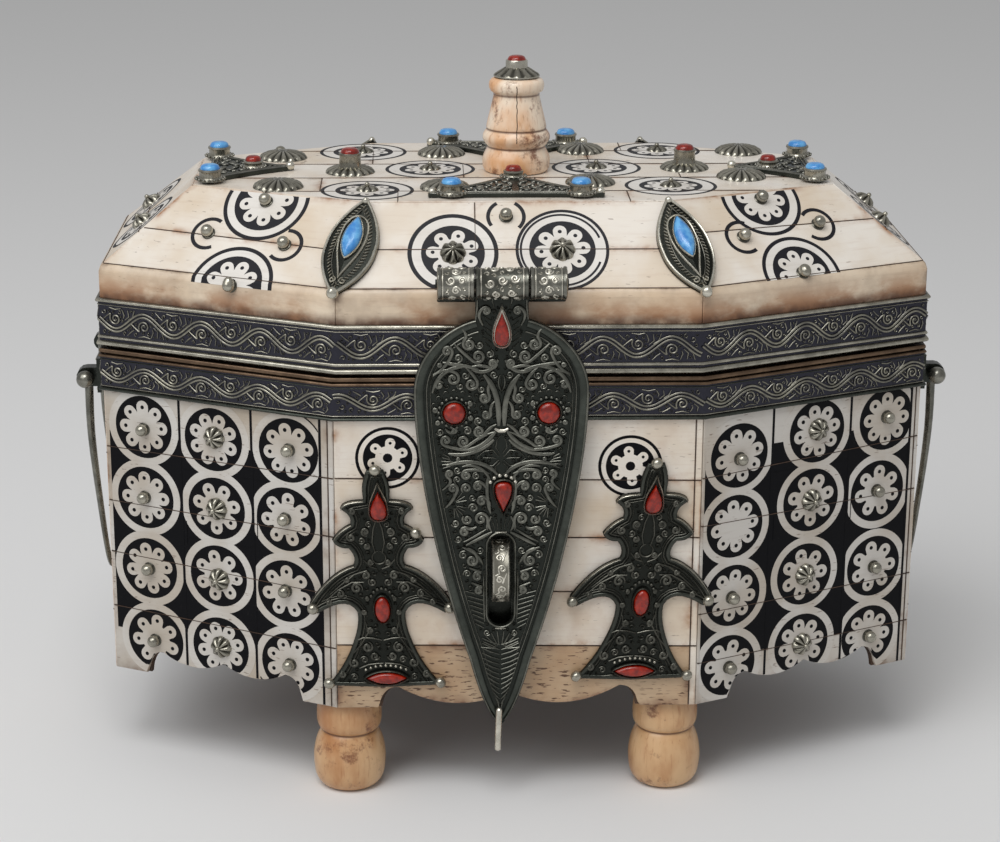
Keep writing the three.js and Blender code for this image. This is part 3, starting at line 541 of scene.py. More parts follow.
def bone_finish(name, light, warm, brown, stain=0.9, pores=0.5, spread=0.44, browning_level=None):
    """Polished bone: cream clouds, grain and pores, brown stains at the edges, and, when a level is given,
    brown smears that darken towards that level.
    """
    made = Finish(name, 0.36, coat=0.15)
    clouds = made.ramp(made.noise(0.035, 4), 0.38, 0.66)
    tint = made.maths("ADD", made.times(clouds, 0.55), made.times(made.attribute("tone"), 0.45))
    colour = made.mix(tint, light, warm)
    grain = made.noise(1.0, 3, vector=made.stretched(0.07, 0.07, 1.0))
    colour = made.mix(made.ramp(grain, 0.5, 0.75, 0, 0.1), colour, brown)
    edge = made.times(made.attribute("stain"), made.attribute("stain"))
    mottle = made.ramp(made.noise(0.16, 4), 0.3, 0.7, 0.25, 1)
    patches = made.ramp(made.noise(0.055, 5, 0.65), spread, spread + 0.24)
    colour = made.mix(made.times(edge, mottle, patches, stain), colour, brown)
    if browning_level is not None:
        # Brown smears over the 13 mm above the given level, darker towards it, and a darker brown close to
        # it.
        height = made.node("ShaderNodeSeparateXYZ")
        made.put(made.place, height.inputs[0])
        level = height.outputs["Z"]
        smears = made.ramp(made.noise(0.07, 5, 0.6, made.stretched(0.6, 0.6, 1)), 0.38, 0.6, 0, 0.9)
        wide = made.times(smears, made.ramp(level, browning_level * MM, (browning_level + 13) * MM, 1, 0))
        spots = made.ramp(made.noise(0.15, 4), 0.3, 0.6, 0.45, 1)
        narrow = made.times(made.ramp(level, browning_level * MM, (browning_level + 4.5) * MM, 0.95, 0), spots)
        colour = made.mix(wide, colour, (150, 98, 56))
        colour = made.mix(narrow, colour, brown)
    ease = 0.15 * pores
    specks = made.ramp(made.noise(1.3, 2, vector=made.stretched(0.2, 0.2, 1.0)), 0.74 - ease, 0.80 - ease)
    areas = made.ramp(made.noise(0.03, 2), 0.5 - ease, 0.62 - ease)
    pore = made.times(specks, areas, pores)
    colour = made.mix(pore, colour, (92, 62, 40))
    rough = made.ramp(made.noise(0.2, 3), 0.3, 0.7, 0.28, 0.46)
    return made.done(colour, rough, made.maths("SUBTRACT", grain, pore), 0.16, 0.08)


def ink_finish(name, colour, gloss):
    """The black filling of the inlay, with bone dust in its scratches."""
    made = Finish(name, 0.5)
    made.shader.inputs["Specular IOR Level"].default_value = gloss
    dust = made.ramp(made.noise(0.9, 4, 0.7), 0.6, 0.85, 0, 0.25)
    return made.done(made.mix(dust, colour, (80, 77, 75)), None, made.noise(1.2), 0.12, 0.05)


def metal_finish(name, ground, crest, roughness=(0.28, 0.5), bump=0.25, scratch=0.5):
    """Embossed silvery metal: dark in its grounds and brighter where it stands out."""
    made = Finish(name, 0.4, 0.85)
    worn = made.ramp(made.attribute("tone"), 0.25, 1.0)
    patches = made.ramp(made.noise(0.12, 4), 0.35, 0.65, 0.55, 1.0)
    fine = made.ramp(made.noise(scratch, 5, 0.65), 0.3, 0.7, 0.7, 1.0)
    rough = made.ramp(made.noise(0.6, 4), 0.3, 0.7, *roughness)
    colour = made.mix(made.times(worn, patches, fine), ground, crest)
    return made.done(colour, rough, made.noise(0.45, 4, 0.6), bump, 0.12)


def turned_finish(name, light, warm):
    """Turned bone: cream with fine upright streaks and brown stains."""
    made = Finish(name, 0.34, coat=0.2)
    clouds = made.ramp(made.noise(0.06, 4, vector=made.stretched(1, 1, 0.5)), 0.35, 0.68)
    colour = made.mix(clouds, light, warm)
    streaks = made.ramp(made.noise(0.9, 3, vector=made.stretched(1, 1, 0.1)), 0.54, 0.76, 0, 0.5)
    colour = made.mix(streaks, colour, (166, 104, 58))
    blots = made.ramp(made.noise(0.075, 6, 0.75), 0.53, 0.66, 0, 0.85)
    colour = made.mix(blots, colour, (110, 56, 28))
    groove = made.ramp(made.attribute("stain"), 0.2, 1.0, 0, 0.85)
    colour = made.mix(groove, colour, (96, 58, 38))
    return made.done(colour, None, streaks, 0.1, 0.05)


def stone_finish(name, deep, bright, vein, share=0.3, scale=0.5):
    """A polished stone with veins and paler clouds."""
    made = Finish(name, 0.26, coat=0.3)
    colour = made.mix(made.ramp(made.noise(scale, 4, 0.6), 0.36, 0.68), deep, bright)
    veins = made.ramp(made.noise(scale * 1.4, 5, 0.7, distortion=1.5), 0.58, 0.72, 0, share)
    return made.done(made.mix(veins, colour, vein), None, made.noise(scale), 0.12, 0.1)


def wood_finish():
    made = Finish("old_wood", 0.65)
    grain = made.noise(0.5, 4, vector=made.stretched(0.1, 0.1, 1))
    colour = made.mix(made.ramp(grain, 0.35, 0.7), (84, 56, 36), (52, 33, 22))
    return made.done(colour, None, grain, 0.3, 0.15)


def joint_finish():
    made = Finish("joint", 0.7)
    colour = made.mix(made.ramp(made.noise(0.25, 4), 0.35, 0.65), (52, 36, 26), (78, 56, 40))
    return made.done(colour, None, made.noise(0.8), 0.15, 0.05)


BONE = bone_finish("bone", (235, 229, 220), (214, 196, 172), (156, 104, 60), 1.0, 0.5, 0.4)
WHITE_BONE = bone_finish("white_bone", (206, 203, 198), (176, 163, 146), (112, 80, 54), 0.9, 0.6)
EDGE_BONE = bone_finish(
    "edge_bone", (224, 207, 184), (208, 182, 152), (84, 54, 36), 1.0, 0.45, 0.33, browning_level=lid_band_top
)
OLD_BONE = bone_finish("old_bone", (200, 176, 146), (178, 142, 106), (104, 60, 36), 1.0, 1.0, 0.38)
LID_WHITE = bone_finish("lid_white_bone", (229, 225, 219), (214, 207, 197), (122, 92, 66), 0.5, 0.3)
INK = ink_finish("inlay_black", (8, 8, 12), 0.12)
LID_INK = ink_finish("lid_inlay_black", (20, 20, 27), 0.3)
GLUE = joint_finish()
METAL = metal_finish("silvered_metal", (50, 53, 49), (158, 156, 146), (0.18, 0.36))
DARK_METAL = metal_finish("dark_metal", (44, 47, 43), (78, 82, 76), (0.24, 0.42))
HASP_METAL = metal_finish("hasp_metal", (46, 49, 45), (124, 124, 115), (0.18, 0.36))
TREE_METAL = metal_finish("tree_metal", (38, 40, 36), (98, 97, 89), (0.2, 0.38))
TREE_EDGE = metal_finish("tree_edge_metal", (36, 38, 34), (74, 76, 70), (0.18, 0.36))
BRIGHT_METAL = metal_finish("bright_metal", (136, 133, 122), (232, 228, 214), (0.18, 0.34), 0.12)
FIELD_METAL = metal_finish("blue_metal", (54, 54, 63), (162, 159, 143), (0.24, 0.42), 0.4)
RIM_METAL = metal_finish("copper_brown", (58, 44, 34), (126, 104, 84), (0.3, 0.5), 0.3)
STUD_METAL = metal_finish("stud_metal", (84, 82, 74), (188, 184, 170), (0.16, 0.3), 0.15)
TURNED = turned_finish("turned_bone", (246, 228, 206), (222, 162, 106))
# The feet's bone is darker than the finial's: real brown stains, and painted shade for the weaker light that
# reaches the feet.
SHADED_FOOT_BONE = turned_finish("shaded_foot_bone", (214, 176, 132), (176, 120, 72))
CORAL = stone_finish("coral", (114, 16, 4), (164, 34, 8), (46, 9, 5), 0.7)
BLUE = stone_finish("turquoise", (60, 134, 206), (106, 178, 230), (40, 84, 150), 0.35, 0.35)
WOOD = wood_finish()
LID_BONES = (BONE, LID_INK, GLUE, EDGE_BONE, LID_WHITE)
# Places of the bone pieces' materials in their lists
BARE, BLACK, SEAM, AGED, PALE = range(5)

# Camera at the photograph's viewing angle

CAMERA_PLACE = Vector((-33.76, -896.82, 394.75))
YAW, PITCH, ROLL = (math.radians(angle) for angle in (1.91, -17.1, 0.26))
FOCAL_LENGTH = 87.8


def add_camera():
    forward = Vector((math.sin(YAW) * math.cos(PITCH), math.cos(YAW) * math.cos(PITCH), math.sin(PITCH)))
    level = Vector((math.cos(YAW), -math.sin(YAW), 0))
    upright = level.cross(forward)
    across = level * math.cos(ROLL) + upright * math.sin(ROLL)
    up = upright * math.cos(ROLL) - level * math.sin(ROLL)
    lens = bpy.data.cameras.new("camera")
    lens.lens, lens.sensor_width, lens.sensor_fit, lens.clip_end = FOCAL_LENGTH, 36, "HORIZONTAL", 20
    camera = bpy.data.objects.new("camera", lens)
    turn = Matrix((across, up, -forward)).transposed().to_4x4()
    camera.matrix_world = Matrix.Translation(CAMERA_PLACE * MM) @ turn
    scene.collection.objects.link(camera)
    scene.camera = camera


# Walls: bone planks with inlay

WALL_LEVELS = [(wall_plan, 0, leg_bottom), (wall_plan, 0, band_top - 0.5)]
walls = [Side(k, WALL_LEVELS, leg_bottom) for k in range(8)]
ARCH = 7
# Width of the legs, heights of arch, lobe and cusp over the leg, and shift to the side
APRONS = {
    "front": (17.8, 8, 1.4, 5.7, -2.9),
    "back": (17.8, 8, 1.4, 5.7, 0),
    "end": (14, 9.6, 5.6, 9.4, 0),
    "diagonal": (14, 9.2, 5.4, 9, 0),
}
APRON_KINDS = ["diagonal", "end", "diagonal", "back", "diagonal", "end", "diagonal", "front"]


def apron_edge(half, kind):
    """Points along the scalloped lower edge of a wall."""
    leg, arch, lobe, cusp, shift = APRONS[kind]
    arch, lobe, cusp = leg_bottom + arch, leg_bottom + lobe, leg_bottom + cusp
    dip = 2 * lobe - (arch + cusp) / 2
    left, right = leg - half + shift, half - leg + shift
    path = [(-half, leg_bottom)]
    path += quadratic((left, leg_bottom), (left + 1, arch), (left + ARCH, arch), 10)
    path += quadratic((left + ARCH, arch), ((left + ARCH + shift) / 2, dip), (shift, cusp), 16)
    path += quadratic((shift, cusp), ((right - ARCH + shift) / 2, dip), (right - ARCH, arch), 16)
    path += quadratic((right - ARCH, arch), (right - 1, arch), (right, leg_bottom), 10)
    return path + [(right, leg_bottom), (half, leg_bottom)]


def level_along(path, x):
    """Height of a left-to-right path at x."""
    for (ax, ay), (bx, by) in zip(path, path[1:]):
        if x <= bx:
            return by if bx == ax else ay + (by - ay) * (x - ax) / (bx - ax)
    return path[-1][1]


# How far the layers of inlay lie over the bone and reach into it
INLAY = {"ground": 0.03, "ring": 0.06, "disc": 0.09, "flower": 0.12, "dot": 0.15, "joint": 0.17}
INLAY_ROOT = -0.3
# Radii of a rosette's disc, of its petals' middles, petals, body and dots
DISC, PETAL_REACH, PETAL, FLOWER_BODY, PETAL_DOT = 11.8, 7.5, 2.5, 5.9, 0.75
RING = 14.6  # radius of the white rings round the rosettes


def inlay(pile, surface, outline, level, paint, tone=0.5):
    """A flat layer of inlay."""
    plate(pile, surface, outline, INLAY_ROOT, INLAY[level], paint, tone)


def flower(x, y, size, petals, turn):
    """Outline of a flower with round petals around a round body."""
    reach, petal, body = PETAL_REACH * size, PETAL * size, FLOWER_BODY * size
    outline = []
    count = petals * 14
    for i in range(count):
        angle = 2 * math.pi * i / count
        near = (angle * petals / (2 * math.pi) + 0.5) % 1 - 0.5
        near *= 2 * math.pi / petals
        inside = petal**2 - (reach * math.sin(near)) ** 2
        radius = body if inside < 0 else max(body, reach * math.cos(near) + math.sqrt(inside))
        outline.append((x + radius * math.cos(angle + turn), y + radius * math.sin(angle + turn)))
    return outline


def rosette(pile, surface, x, y, disc, petals, turn, bound=whole, white=BARE):
    """A dark disc with a white flower on it and a dark dot in each petal."""
    size = disc / DISC
    parts = [(circle(x, y, disc, 44), "disc", BLACK), (flower(x, y, size, petals, turn), "flower", white)]
    for i in range(petals):
        angle = turn + 2 * math.pi * i / petals
        dot = (x + PETAL_REACH * size * math.cos(angle), y + PETAL_REACH * size * math.sin(angle))
        parts.append((circle(*dot, PETAL_DOT * size, 10), "dot", BLACK))
    for outline, level, paint in parts:
        inlay(pile, surface, bound(outline), level, paint, 0.4)


def strip(path, width):
    """Outline of a line of even width along a path."""
    return offset(path, width / 2, False) + offset(path, -width / 2, False)[::-1]


def line(pile, surface, path, width, paint, level="joint", bound=whole):
    inlay(pile, surface, bound(strip(path, width)), level, paint, 0.3)


# Petals of a diagonal wall's rosettes, column by column
PETALS = [8, 8, 8, 7, 8, 7, 7, 8, 8, 7, 7, 8]
DIAGONALS = {
    "left": {
        "columns": [
            [(-30.5, 132), (-30.8, 105), (-30.3, 77.5), (-28.8, 49.5)],
            [(-1.5, 131), (-1, 105), (-1, 79), (-1, 51)],
            [(29, 131), (27.5, 105), (27, 77.5), (28, 49.5)],
        ],
        "lines": [-45.1, -15.5, 14.0, 41.5],
        "joints": [(122.8, 122.8), (102, 101), (82, 79), (60.5, 58.5)],
        "seam": 44.5,
    },
    "right": {
        "columns": [
            [(-31.5, 128.5), (-32.5, 102), (-32.5, 75.5), (-33.5, 48.5)],
            [(1.5, 133), (0, 107), (-1.5, 78.5), (-1.5, 51)],
            [(32, 133.5), (29.5, 106), (29.5, 76.5), (28.5, 49)],
        ],
        "lines": [-45.6, -17.4, 16.2, 43.0],
        "joints": [(122, 125), (104, 104.5), (70.5, 71), (51.5, 52)],
        "seam": 45.0,
    },
}
FRONT_JOINTS, FRONT_SEAM = [(123, 121.5), (101, 100), (80.5, 79.5), (60, 58.5)], 62.4
PLAIN_JOINTS = [(121, 120), (99, 99.5), (79, 78.5), (58, 58.5)]
FRONT_ROSETTES, PLAIN_RING = [(-46, 130.5), (39.5, 127)], 11.3


def slanted(ends, x, half):
    """Height at x of a line with these heights at -half and half."""
    return ends[0] + (ends[1] - ends[0]) * (x + half) / (2 * half)


def bone_walls():
    for k, wall in enumerate(walls):
        kind = APRON_KINDS[k]
        half = wall.right[0] - FIT / 2
        edge = apron_edge(half, kind)
        bottom = lambda x: level_along(edge, x)
        chance = random.Random(100 + k)
        top = wall.levels[-1]
        pattern = DIAGONALS["left" if k in (6, 2) else "right"] if kind == "diagonal" else None
        if pattern:
            joints, seam = pattern["joints"], pattern["seam"]
        elif kind == "front":
            joints, seam = FRONT_JOINTS, FRONT_SEAM
        else:
            joints, seam = PLAIN_JOINTS, half - 2.6
        bone = WHITE_BONE if pattern else BONE
        pile = Pile(SIDE_NAMES[k] + "_inlaid_wall", "base", "bone", bone, INK, GLUE, OLD_BONE)
        outline = [(x * 0.975, z + 0.2) for x, z in edge] + [(half * 0.975, top), (-half * 0.975, top)]
        plate(pile, wall, outline, -bone_thickness, -PLANK_DEPTH + 0.1, SEAM)
        rows = [bottom, *joints[::-1], (top, top)]
        for left, right in ((-half, seam), (seam, half)):
            width = right - left
            for row, (low, high) in enumerate(zip(rows, rows[1:])):
                floor = (lambda x, low=low: slanted(low, x, half)) if row else bottom
                roof = lambda x, high=high: slanted(high, x, half)

                def place(s, t, left=left, width=width, floor=floor, roof=roof):
                    x = left + JOINT / 2 + s * (width - JOINT)
                    low_edge, high_edge = floor(x) + JOINT / 2, roof(x) - JOINT / 2
                    return x, low_edge + t * (high_edge - low_edge)

                height = roof(left) - (floor(left) if row else leg_bottom + 6)
                fine = 2 if row else max(1, round(width))
                paint = AGED if kind == "front" and row == 0 and width > 20 else BARE
                wash = chance.uniform(0.15, 0.5)
                plank(pile, wall, place, width, height, fine, (), paint, chance.random(), wash)
        above = lambda outline: [(x, max(z, bottom(x) + 0.2)) for x, z in outline]
        if pattern:
            inlay_diagonal(pile, wall, pattern, above, bottom, chance)
        else:
            middles = FRONT_ROSETTES if kind == "front" else [(-0.52 * half, 128), (0.52 * half, 128)]
            for i, (x, z) in enumerate(middles):
                inlay(pile, wall, circle(x, z, PLAIN_RING + 0.1, 48), "ground", BLACK)
                inlay(pile, wall, circle(x, z, PLAIN_RING - 1.0, 48), "ring", BARE, 0.2)
                rosette(pile, wall, x, z, PLAIN_RING - 2.6, 6, 0.35 + 0.3 * i)
                inlay(pile, wall, circle(x, z, 1.7, 12), "dot", BLACK)
        for a, b in joints:
            line(pile, wall, [(-half + 0.2, a), (half - 0.2, b)], 0.26, SEAM, bound=above)
        if kind == "front":
            line(pile, wall, [(seam, bottom(seam) + 0.3), (seam, top)], 0.3, SEAM)
        pile.piece(SIDE_NAMES[k] + "_bone_panel")


def inlay_diagonal(pile, wall, pattern, above, bottom, chance):
    """Four rows of rings in three columns, with black cusps between them."""
    lines, columns = pattern["lines"], pattern["columns"]
    first, last = columns[1][0][1], columns[1][3][1]
    ground = [(lines[0], last + 1), (lines[3], last + 1), (lines[3], first - 2), (lines[0], first - 2)]
    inlay(pile, wall, ground, "ground", BLACK, 0.3)
    for c, column in enumerate(columns):
        left, right = lines[c] + (0.55 if c else 0.0), lines[c + 1] - 0.55
        keep = lambda outline: above([(min(max(x, left), right), z) for x, z in outline])
        for r, (x, z) in enumerate(column):
            level = INLAY["ring"] + 0.004 * (r + 4 * (c % 2)) - 0.014
            tone = chance.uniform(0.1, 0.5)
            plate(pile, wall, keep(circle(x, z, RING, 56)), INLAY_ROOT, level, BARE, tone)
            disc = DISC + chance.uniform(-0.15, 0.15)
            rosette(pile, wall, x, z, disc, PETALS[c * 4 + r], chance.uniform(0, 1), keep)
            if r < 3 and z - column[r + 1][1] <= 2 * RING - 3:
                middle = (z + column[r + 1][1]) / 2
                for side in (left, right):
                    near = side + (x - side) * 0.45
                    line(pile, wall, [(near, middle), (side, middle)], 0.22, BLACK, "disc")
    for (x, z), start, end in ((column[0], 35, 75), (column[3], -150, -100)):
        line(pile, wall, arc(x, z, RING, start, end, 12), 0.5, BLACK, "disc", keep)
    for x in lines[1:]:
        line(pile, wall, [(x, bottom(x) + 0.4), (x, band_bottom + 1)], 0.95, BLACK, "disc")
    seam = pattern["seam"]
    line(pile, wall, [(seam, bottom(seam) + 0.3), (seam, band_bottom + 1)], 0.28, SEAM)
    for x in lines[1:3]:
        z = chance.uniform(68, 100)
        line(pile, wall, [(x + 1.7, z), (x + 1.7, z + 9)], 0.3, BLACK, "dot")


# Lid: bone planks on its sides and its plateau

LID_LEVELS = [
    (lid_plan, 0, lid_bottom + FIT),
    (lid_plan, 0, crease_height - 3),
    (lid_plan, CREASE_INSET * 0.4, crease_height - 1),
    (lid_plan, CREASE_INSET + SLOPE_START[0], crease_height + SLOPE_START[1]),
    (plateau_plan, 0, plateau_height - 0.2),
]
SLOPE_FIRST = -0.85  # the slopes start here along their sides
CREASE_JOINT = -2.0
SLOPE_JOINTS = {6: (14.6, 13.6), 0: (20.5, 18), 7: (13.7, 13.7)}
FRONT_SPLIT = -15  # the upper row of the front slope is in two planks


def lid_side(k):
    first = Side(k, LID_LEVELS, 0)
    return Side(k, LID_LEVELS, SLOPE_FIRST - first.levels[3])


lid_sides = [lid_side(k) for k in range(8)]
plateau = Face((0, 0, plateau_height), (1, 0, 0), (0, 1, 0))


def side_row(pile, side, low, high, left=None, right=None, paint=0, tone=0.5, wash=0.0):
    """One row of bone between two levels of a lid side, each given at its left and right end."""
    mean_low, mean_high = (low[0] + low[1]) / 2, (high[0] + high[1]) / 2

    def place(s, t):
        y = (low[0] + (low[1] - low[0]) * s) * (1 - t) + (high[0] + (high[1] - high[0]) * s) * t
        a, b = side.edges(y)
        a = a + FIT / 2 if left is None else left + JOINT / 2
        b = b - FIT / 2 if right is None else right - JOINT / 2
        return a + (b - a) * s, y + (JOINT / 2 if t == 0 else -JOINT / 2 if t == 1 else 0)

    a, b = side.edges((mean_low + mean_high) / 2)
    width = (b if right is None else right) - (a if left is None else left)
    folds = [(fold - mean_low) / (mean_high - mean_low) for fold in side.folds if mean_low < fold < mean_high]
    plank(pile, side, place, width, mean_high - mean_low, 2, folds, paint, tone, wash)


def bone_lid():
    for k, side in enumerate(lid_sides):
        chance = random.Random(200 + k)
        pile = Pile("lid_" + SIDE_NAMES[k] + "_bone", "lid", "bone", *LID_BONES)
        start, top = side.levels[0], side.levels[-1]
        ends = [(*side.edges(y), y) for y in side.levels]
        outline = [(right - 1.4, y) for _, right, y in ends] + [(left + 1.4, y) for left, _, y in ends[::-1]]
        plate(pile, side, outline, -bone_thickness, -PLANK_DEPTH + 0.1, SEAM)
        crease, joint = (CREASE_JOINT, CREASE_JOINT), SLOPE_JOINTS.get(k, (14, 14))
        side_row(pile, side, (start, start), crease, paint=AGED, tone=chance.random(), wash=0.5)
        side_row(pile, side, crease, joint, tone=chance.random(), wash=0.05)
        if k == 7:
            side_row(pile, side, joint, (top, top), right=FRONT_SPLIT, tone=0.2)
            side_row(pile, side, joint, (top, top), left=FRONT_SPLIT, tone=0.35)
        else:
            side_row(pile, side, joint, (top, top), tone=chance.random(), wash=0.05)
        for a, b in (crease, joint):
            (left, _), (_, right) = side.edges(a), side.edges(b)
            line(pile, side, [(left + 0.4, a), (right - 0.4, b)], 0.3, SEAM)
        if k == 7:
            line(pile, side, [(FRONT_SPLIT, 13.9), (FRONT_SPLIT, top - 0.3)], 0.22, SEAM)
        SLOPE_INLAY[k](pile, side)
        pile.piece("lid_" + SIDE_NAMES[k] + "_bone_panel")
    plateau_bone()


def slope_ring(pile, side, x, y, outer, disc, petals, turn, width=1.5):
    """A rosette inside one dark ring."""
    inlay(pile, side, circle(x, y, outer, 56), "ground", PALE, 0.2)
    line(pile, side, arc(x, y, outer, 0, 360, 60), width, BLACK, "ring")
    rosette(pile, side, x, y, disc, petals, turn, white=PALE)


def cut_rosette(pile, side, x, y, outer, disc, turn, limit, width):
    """A rosette of a slope that stops at a level, above or below its middle."""
    reach = math.degrees(math.asin((limit - y) / outer))
    sign = -1 if limit > y + 2 else 1
    keep = lambda outline: clipped(outline, 1, limit, sign)
    ring = (-180 - reach, reach) if sign < 0 else (reach, 180 - reach)
    inlay(pile, side, keep(circle(x, y, outer, 56)), "ground", PALE, 0.2)
    line(pile, side, arc(x, y, outer, *ring, 60), width, BLACK, "ring")
    rosette(pile, side, x, y, disc, 8, turn, keep, PALE)


def hook(pile, side, place, radius, start, end, width=1.4):
    """A dark arc round a stud."""
    line(pile, side, arc(*place, radius, start, end), width, BLACK, "disc")


# Places of the studs on the slopes, where rosettes and hooks have their middles too
LEFT_SLOPE = [(7.4, 30.5), (6.1, -5.1), (-10.2, 15.0), (21.0, 13.4)]
RIGHT_SLOPE = [(-8.1, 31.4), (-4.7, -1.1), (-21.9, 16.4), (10.4, 18.2)]
FRONT_SLOPE = [(-22.8, 12.2), (15.3, 13.4), (-4.1, 26.9)]
END_SLOPE = [(-17, 13.5), (17, 13.5)]


def slope_left(pile, side):
    upper, lower, left, right = LEFT_SLOPE
    cut_rosette(pile, side, *upper, 15.7, 12.2, 0.2, side.levels[-1] - 0.5, 1.5)
    cut_rosette(pile, side, *lower, 15.3, 12, 0.5, -5.3, 1.5)
    hook(pile, side, left, 6.2, 60, 300)
    hook(pile, side, right, 6.2, 97, -130)


def slope_right(pile, side):
    upper, lower, left, right = RIGHT_SLOPE
    cut_rosette(pile, side, *upper, 15.1, 11.4, 0.6, side.levels[-1] - 0.5, 1.4)
    cut_rosette(pile, side, *lower, 14.8, 11.4, 0.1, -2.6, 1.4)
    hook(pile, side, left, 6.4, 62, 300)
    hook(pile, side, right, 6.4, 135, -135)


def slope_front(pile, side):
    left, right, middle = FRONT_SLOPE
    slope_ring(pile, side, *left, 15.1, 11.1, 7, 0.4)
    slope_ring(pile, side, *right, 15.8, 11.6, 8, 0.1, 1.1)
    line(pile, side, arc(15.0, 13.4, 14.2, 20, 340, 60), 0.8, BLACK, "ring")
    hook(pile, side, middle, 6.3, 215, 120, 1.3)
    hook(pile, side, middle, 6.3, 60, -45, 1.3)


def slope_end(pile, side):
    for place in END_SLOPE:
        slope_ring(pile, side, *place, 13.6, 10.2, 8, 0.3)


SLOPE_INLAY = [slope_right, slope_end, slope_left, slope_front] * 2
PLATEAU_RINGS = [(-53, -36.4), (-30.3, 2.4), (-56, 36.3), (56.7, -29.5), (32, 4.6), (57.9, 38.3)]
PLATEAU_JOINTS = [-38, -14, 12, 38]
PLATEAU_CROSS = [(-42, 40), (-70, 8), (-18, 62), (-52, 30), (-30, 44)]


def plateau_edge(y, inset):
    """Half width of the plateau at this depth."""
    length, end = plateau_plan["length"] - inset, plateau_plan["end"]
    front, depth = plateau_plan["front"], plateau_plan["depth"] - inset
    return length if abs(y) < end else length - (length - front) * (abs(y) - end) / (depth - end)


def plateau_bone():
    chance = random.Random(31)
    pile = Pile("plateau_bone", "lid", "bone", *LID_BONES)
    depth = plateau_plan["depth"] - PLATEAU_BEVEL
    outline = [corner(plateau_plan, k, 1.2)[:] for k in range(8)]
    plate(pile, plateau, outline, -bone_thickness, -PLANK_DEPTH + 0.1, SEAM)
    rows = [-depth, *PLATEAU_JOINTS, depth]
    for i, (low, high) in enumerate(zip(rows, rows[1:])):
        cuts = [None, *PLATEAU_CROSS[i], None]
        for a, b in zip(cuts, cuts[1:]):

            def place(s, t, a=a, b=b, low=low, high=high):
                y = low + JOINT / 2 + t * (high - low - JOINT)
                edge = plateau_edge(y, PLATEAU_BEVEL)
                left = -edge if a is None else a + JOINT / 2
                right = edge if b is None else b - JOINT / 2
                return left + (right - left) * s, y

            folds = (-plateau_plan["end"], plateau_plan["end"])
            bends = [(y - low) / (high - low) for y in folds if low < y < high]
            width = (95 if b is None else b) - (-95 if a is None else a)
            plank(pile, plateau, place, width, high - low, 2, bends, BARE, chance.random(), 0.05)
    for y in PLATEAU_JOINTS:
        edge = plateau_edge(y, PLATEAU_BEVEL) - 0.5
        line(pile, plateau, [(-edge, y - 0.3), (edge, y + 0.3)], 0.28, SEAM)
    for low, high, cuts in zip(rows, rows[1:], PLATEAU_CROSS):
        for x in cuts:
            line(pile, plateau, [(x, low + 0.3), (x, high - 0.3)], 0.22, SEAM)
    for i, (x, y) in enumerate(PLATEAU_RINGS):
        slope_ring(pile, plateau, x, y, 16.1, 11.5, 8, 0.3 * i, 1.3)
    pile.piece("lid_top_bone_panel")


# Details shared by several pieces of metal


class Roll:
    """The outside of a cylinder: x along its axis, y around it."""

    def __init__(self, origin, axis, front, radius):
        self.origin, self.axis, self.front, self.radius = Vector(origin), Vector(axis), Vector(front), radius
        self.aside = self.axis.cross(self.front)
        self.folds = []

    def at(self, x, y, height=0.0):
        angle = y / self.radius
        out = self.front * math.cos(angle) + self.aside * math.sin(angle)
        return self.origin + self.axis * x + out * (self.radius + height)


class Flipped:
    """Another surface mirrored in X, in Y or in both."""

    def __init__(self, surface, sx, sy):
        self.surface, self.scale, self.folds = surface, Vector((sx, sy, 1)), surface.folds

    def at(self, x, y, height=0.0):
        return self.surface.at(x, y, height) * self.scale


def ringed(pile, surface, profile, sides, paint, tone):
    """A ring of revolution, whose profile is a closed outline of (radius, height)."""
    points = []
    for i in range(sides):
        angle = 2 * math.pi * i / sides
        points += [surface.at(r * math.cos(angle), r * math.sin(angle), height) for r, height in profile]
    pile.add(points, quads(sides, len(profile), True), paint, tone)


# Layers of a dome, as shares of its outline and of its rise
DOME = ((1, -0.3), (1, 0.1), (0.95, 0.5), (0.82, 0.8), (0.6, 0.94), (0.3, 1.0))


def dome(pile, surface, outline, base, rise):
    """A domed solid over an outline."""
    n = len(outline)
    cx, cy = sum(x for x, y in outline) / n, sum(y for x, y in outline) / n
    shrunk = lambda share: [(cx + (x - cx) * share, cy + (y - cy) * share) for x, y in outline]
    for share in (1, 0.7, 0.4, 0.1):
        mark(surface, shrunk(share))
    points = [surface.at(x, y, base + rise * lift) for share, lift in DOME for x, y in shrunk(share)]
    pile.add(points, capped(len(DOME), n))


def ball(pile, surface, x, y, radius, paint=0, base=0.0, sides=16, tone=1.0):
    steps = [-0.9 + 2.42 * i / 8 for i in range(9)]
    profile = [(radius * math.cos(a), base + radius * (0.75 + math.sin(a))) for a in steps]
    turned(pile, surface, x, y, profile, sides, paint=paint, tone=tone)


def beads(pile, surface, x, y, reach, angles, radius, paint, base):
    """Small balls round a place. Reach is how far out they lie, across and along."""
    for a in map(math.radians, angles):
        ball(pile, surface, x + reach[0] * math.cos(a), y + reach[1] * math.sin(a), radius, paint, base, 8)


def ribbed(pile, surface, x, y, radius, rise, ribs, knob=0.0, depth=0.42):
    """A dome with ribs that run up to a knob."""
    steps = ((1, -0.3 / rise), (1, 0.12), (0.94, 0.42), (0.78, 0.7), (0.55, 0.88), (0.34, 0.98), (0.2, 1.0))
    profile = [(radius * reach, rise * lift) for reach, lift in steps]
    turned(pile, surface, x, y, profile, ribs * 6, flutes=ribs, depth=depth)
    if knob:
        ball(pile, surface, x, y, knob, 0, rise * 0.86)


def bezel(pile, surface, outline, width, height, paint, base):
    """A raised rim just outside an anticlockwise outline."""
    ridge(pile, surface, offset(outline, -width * 0.35), width, height, paint, True, base=base)


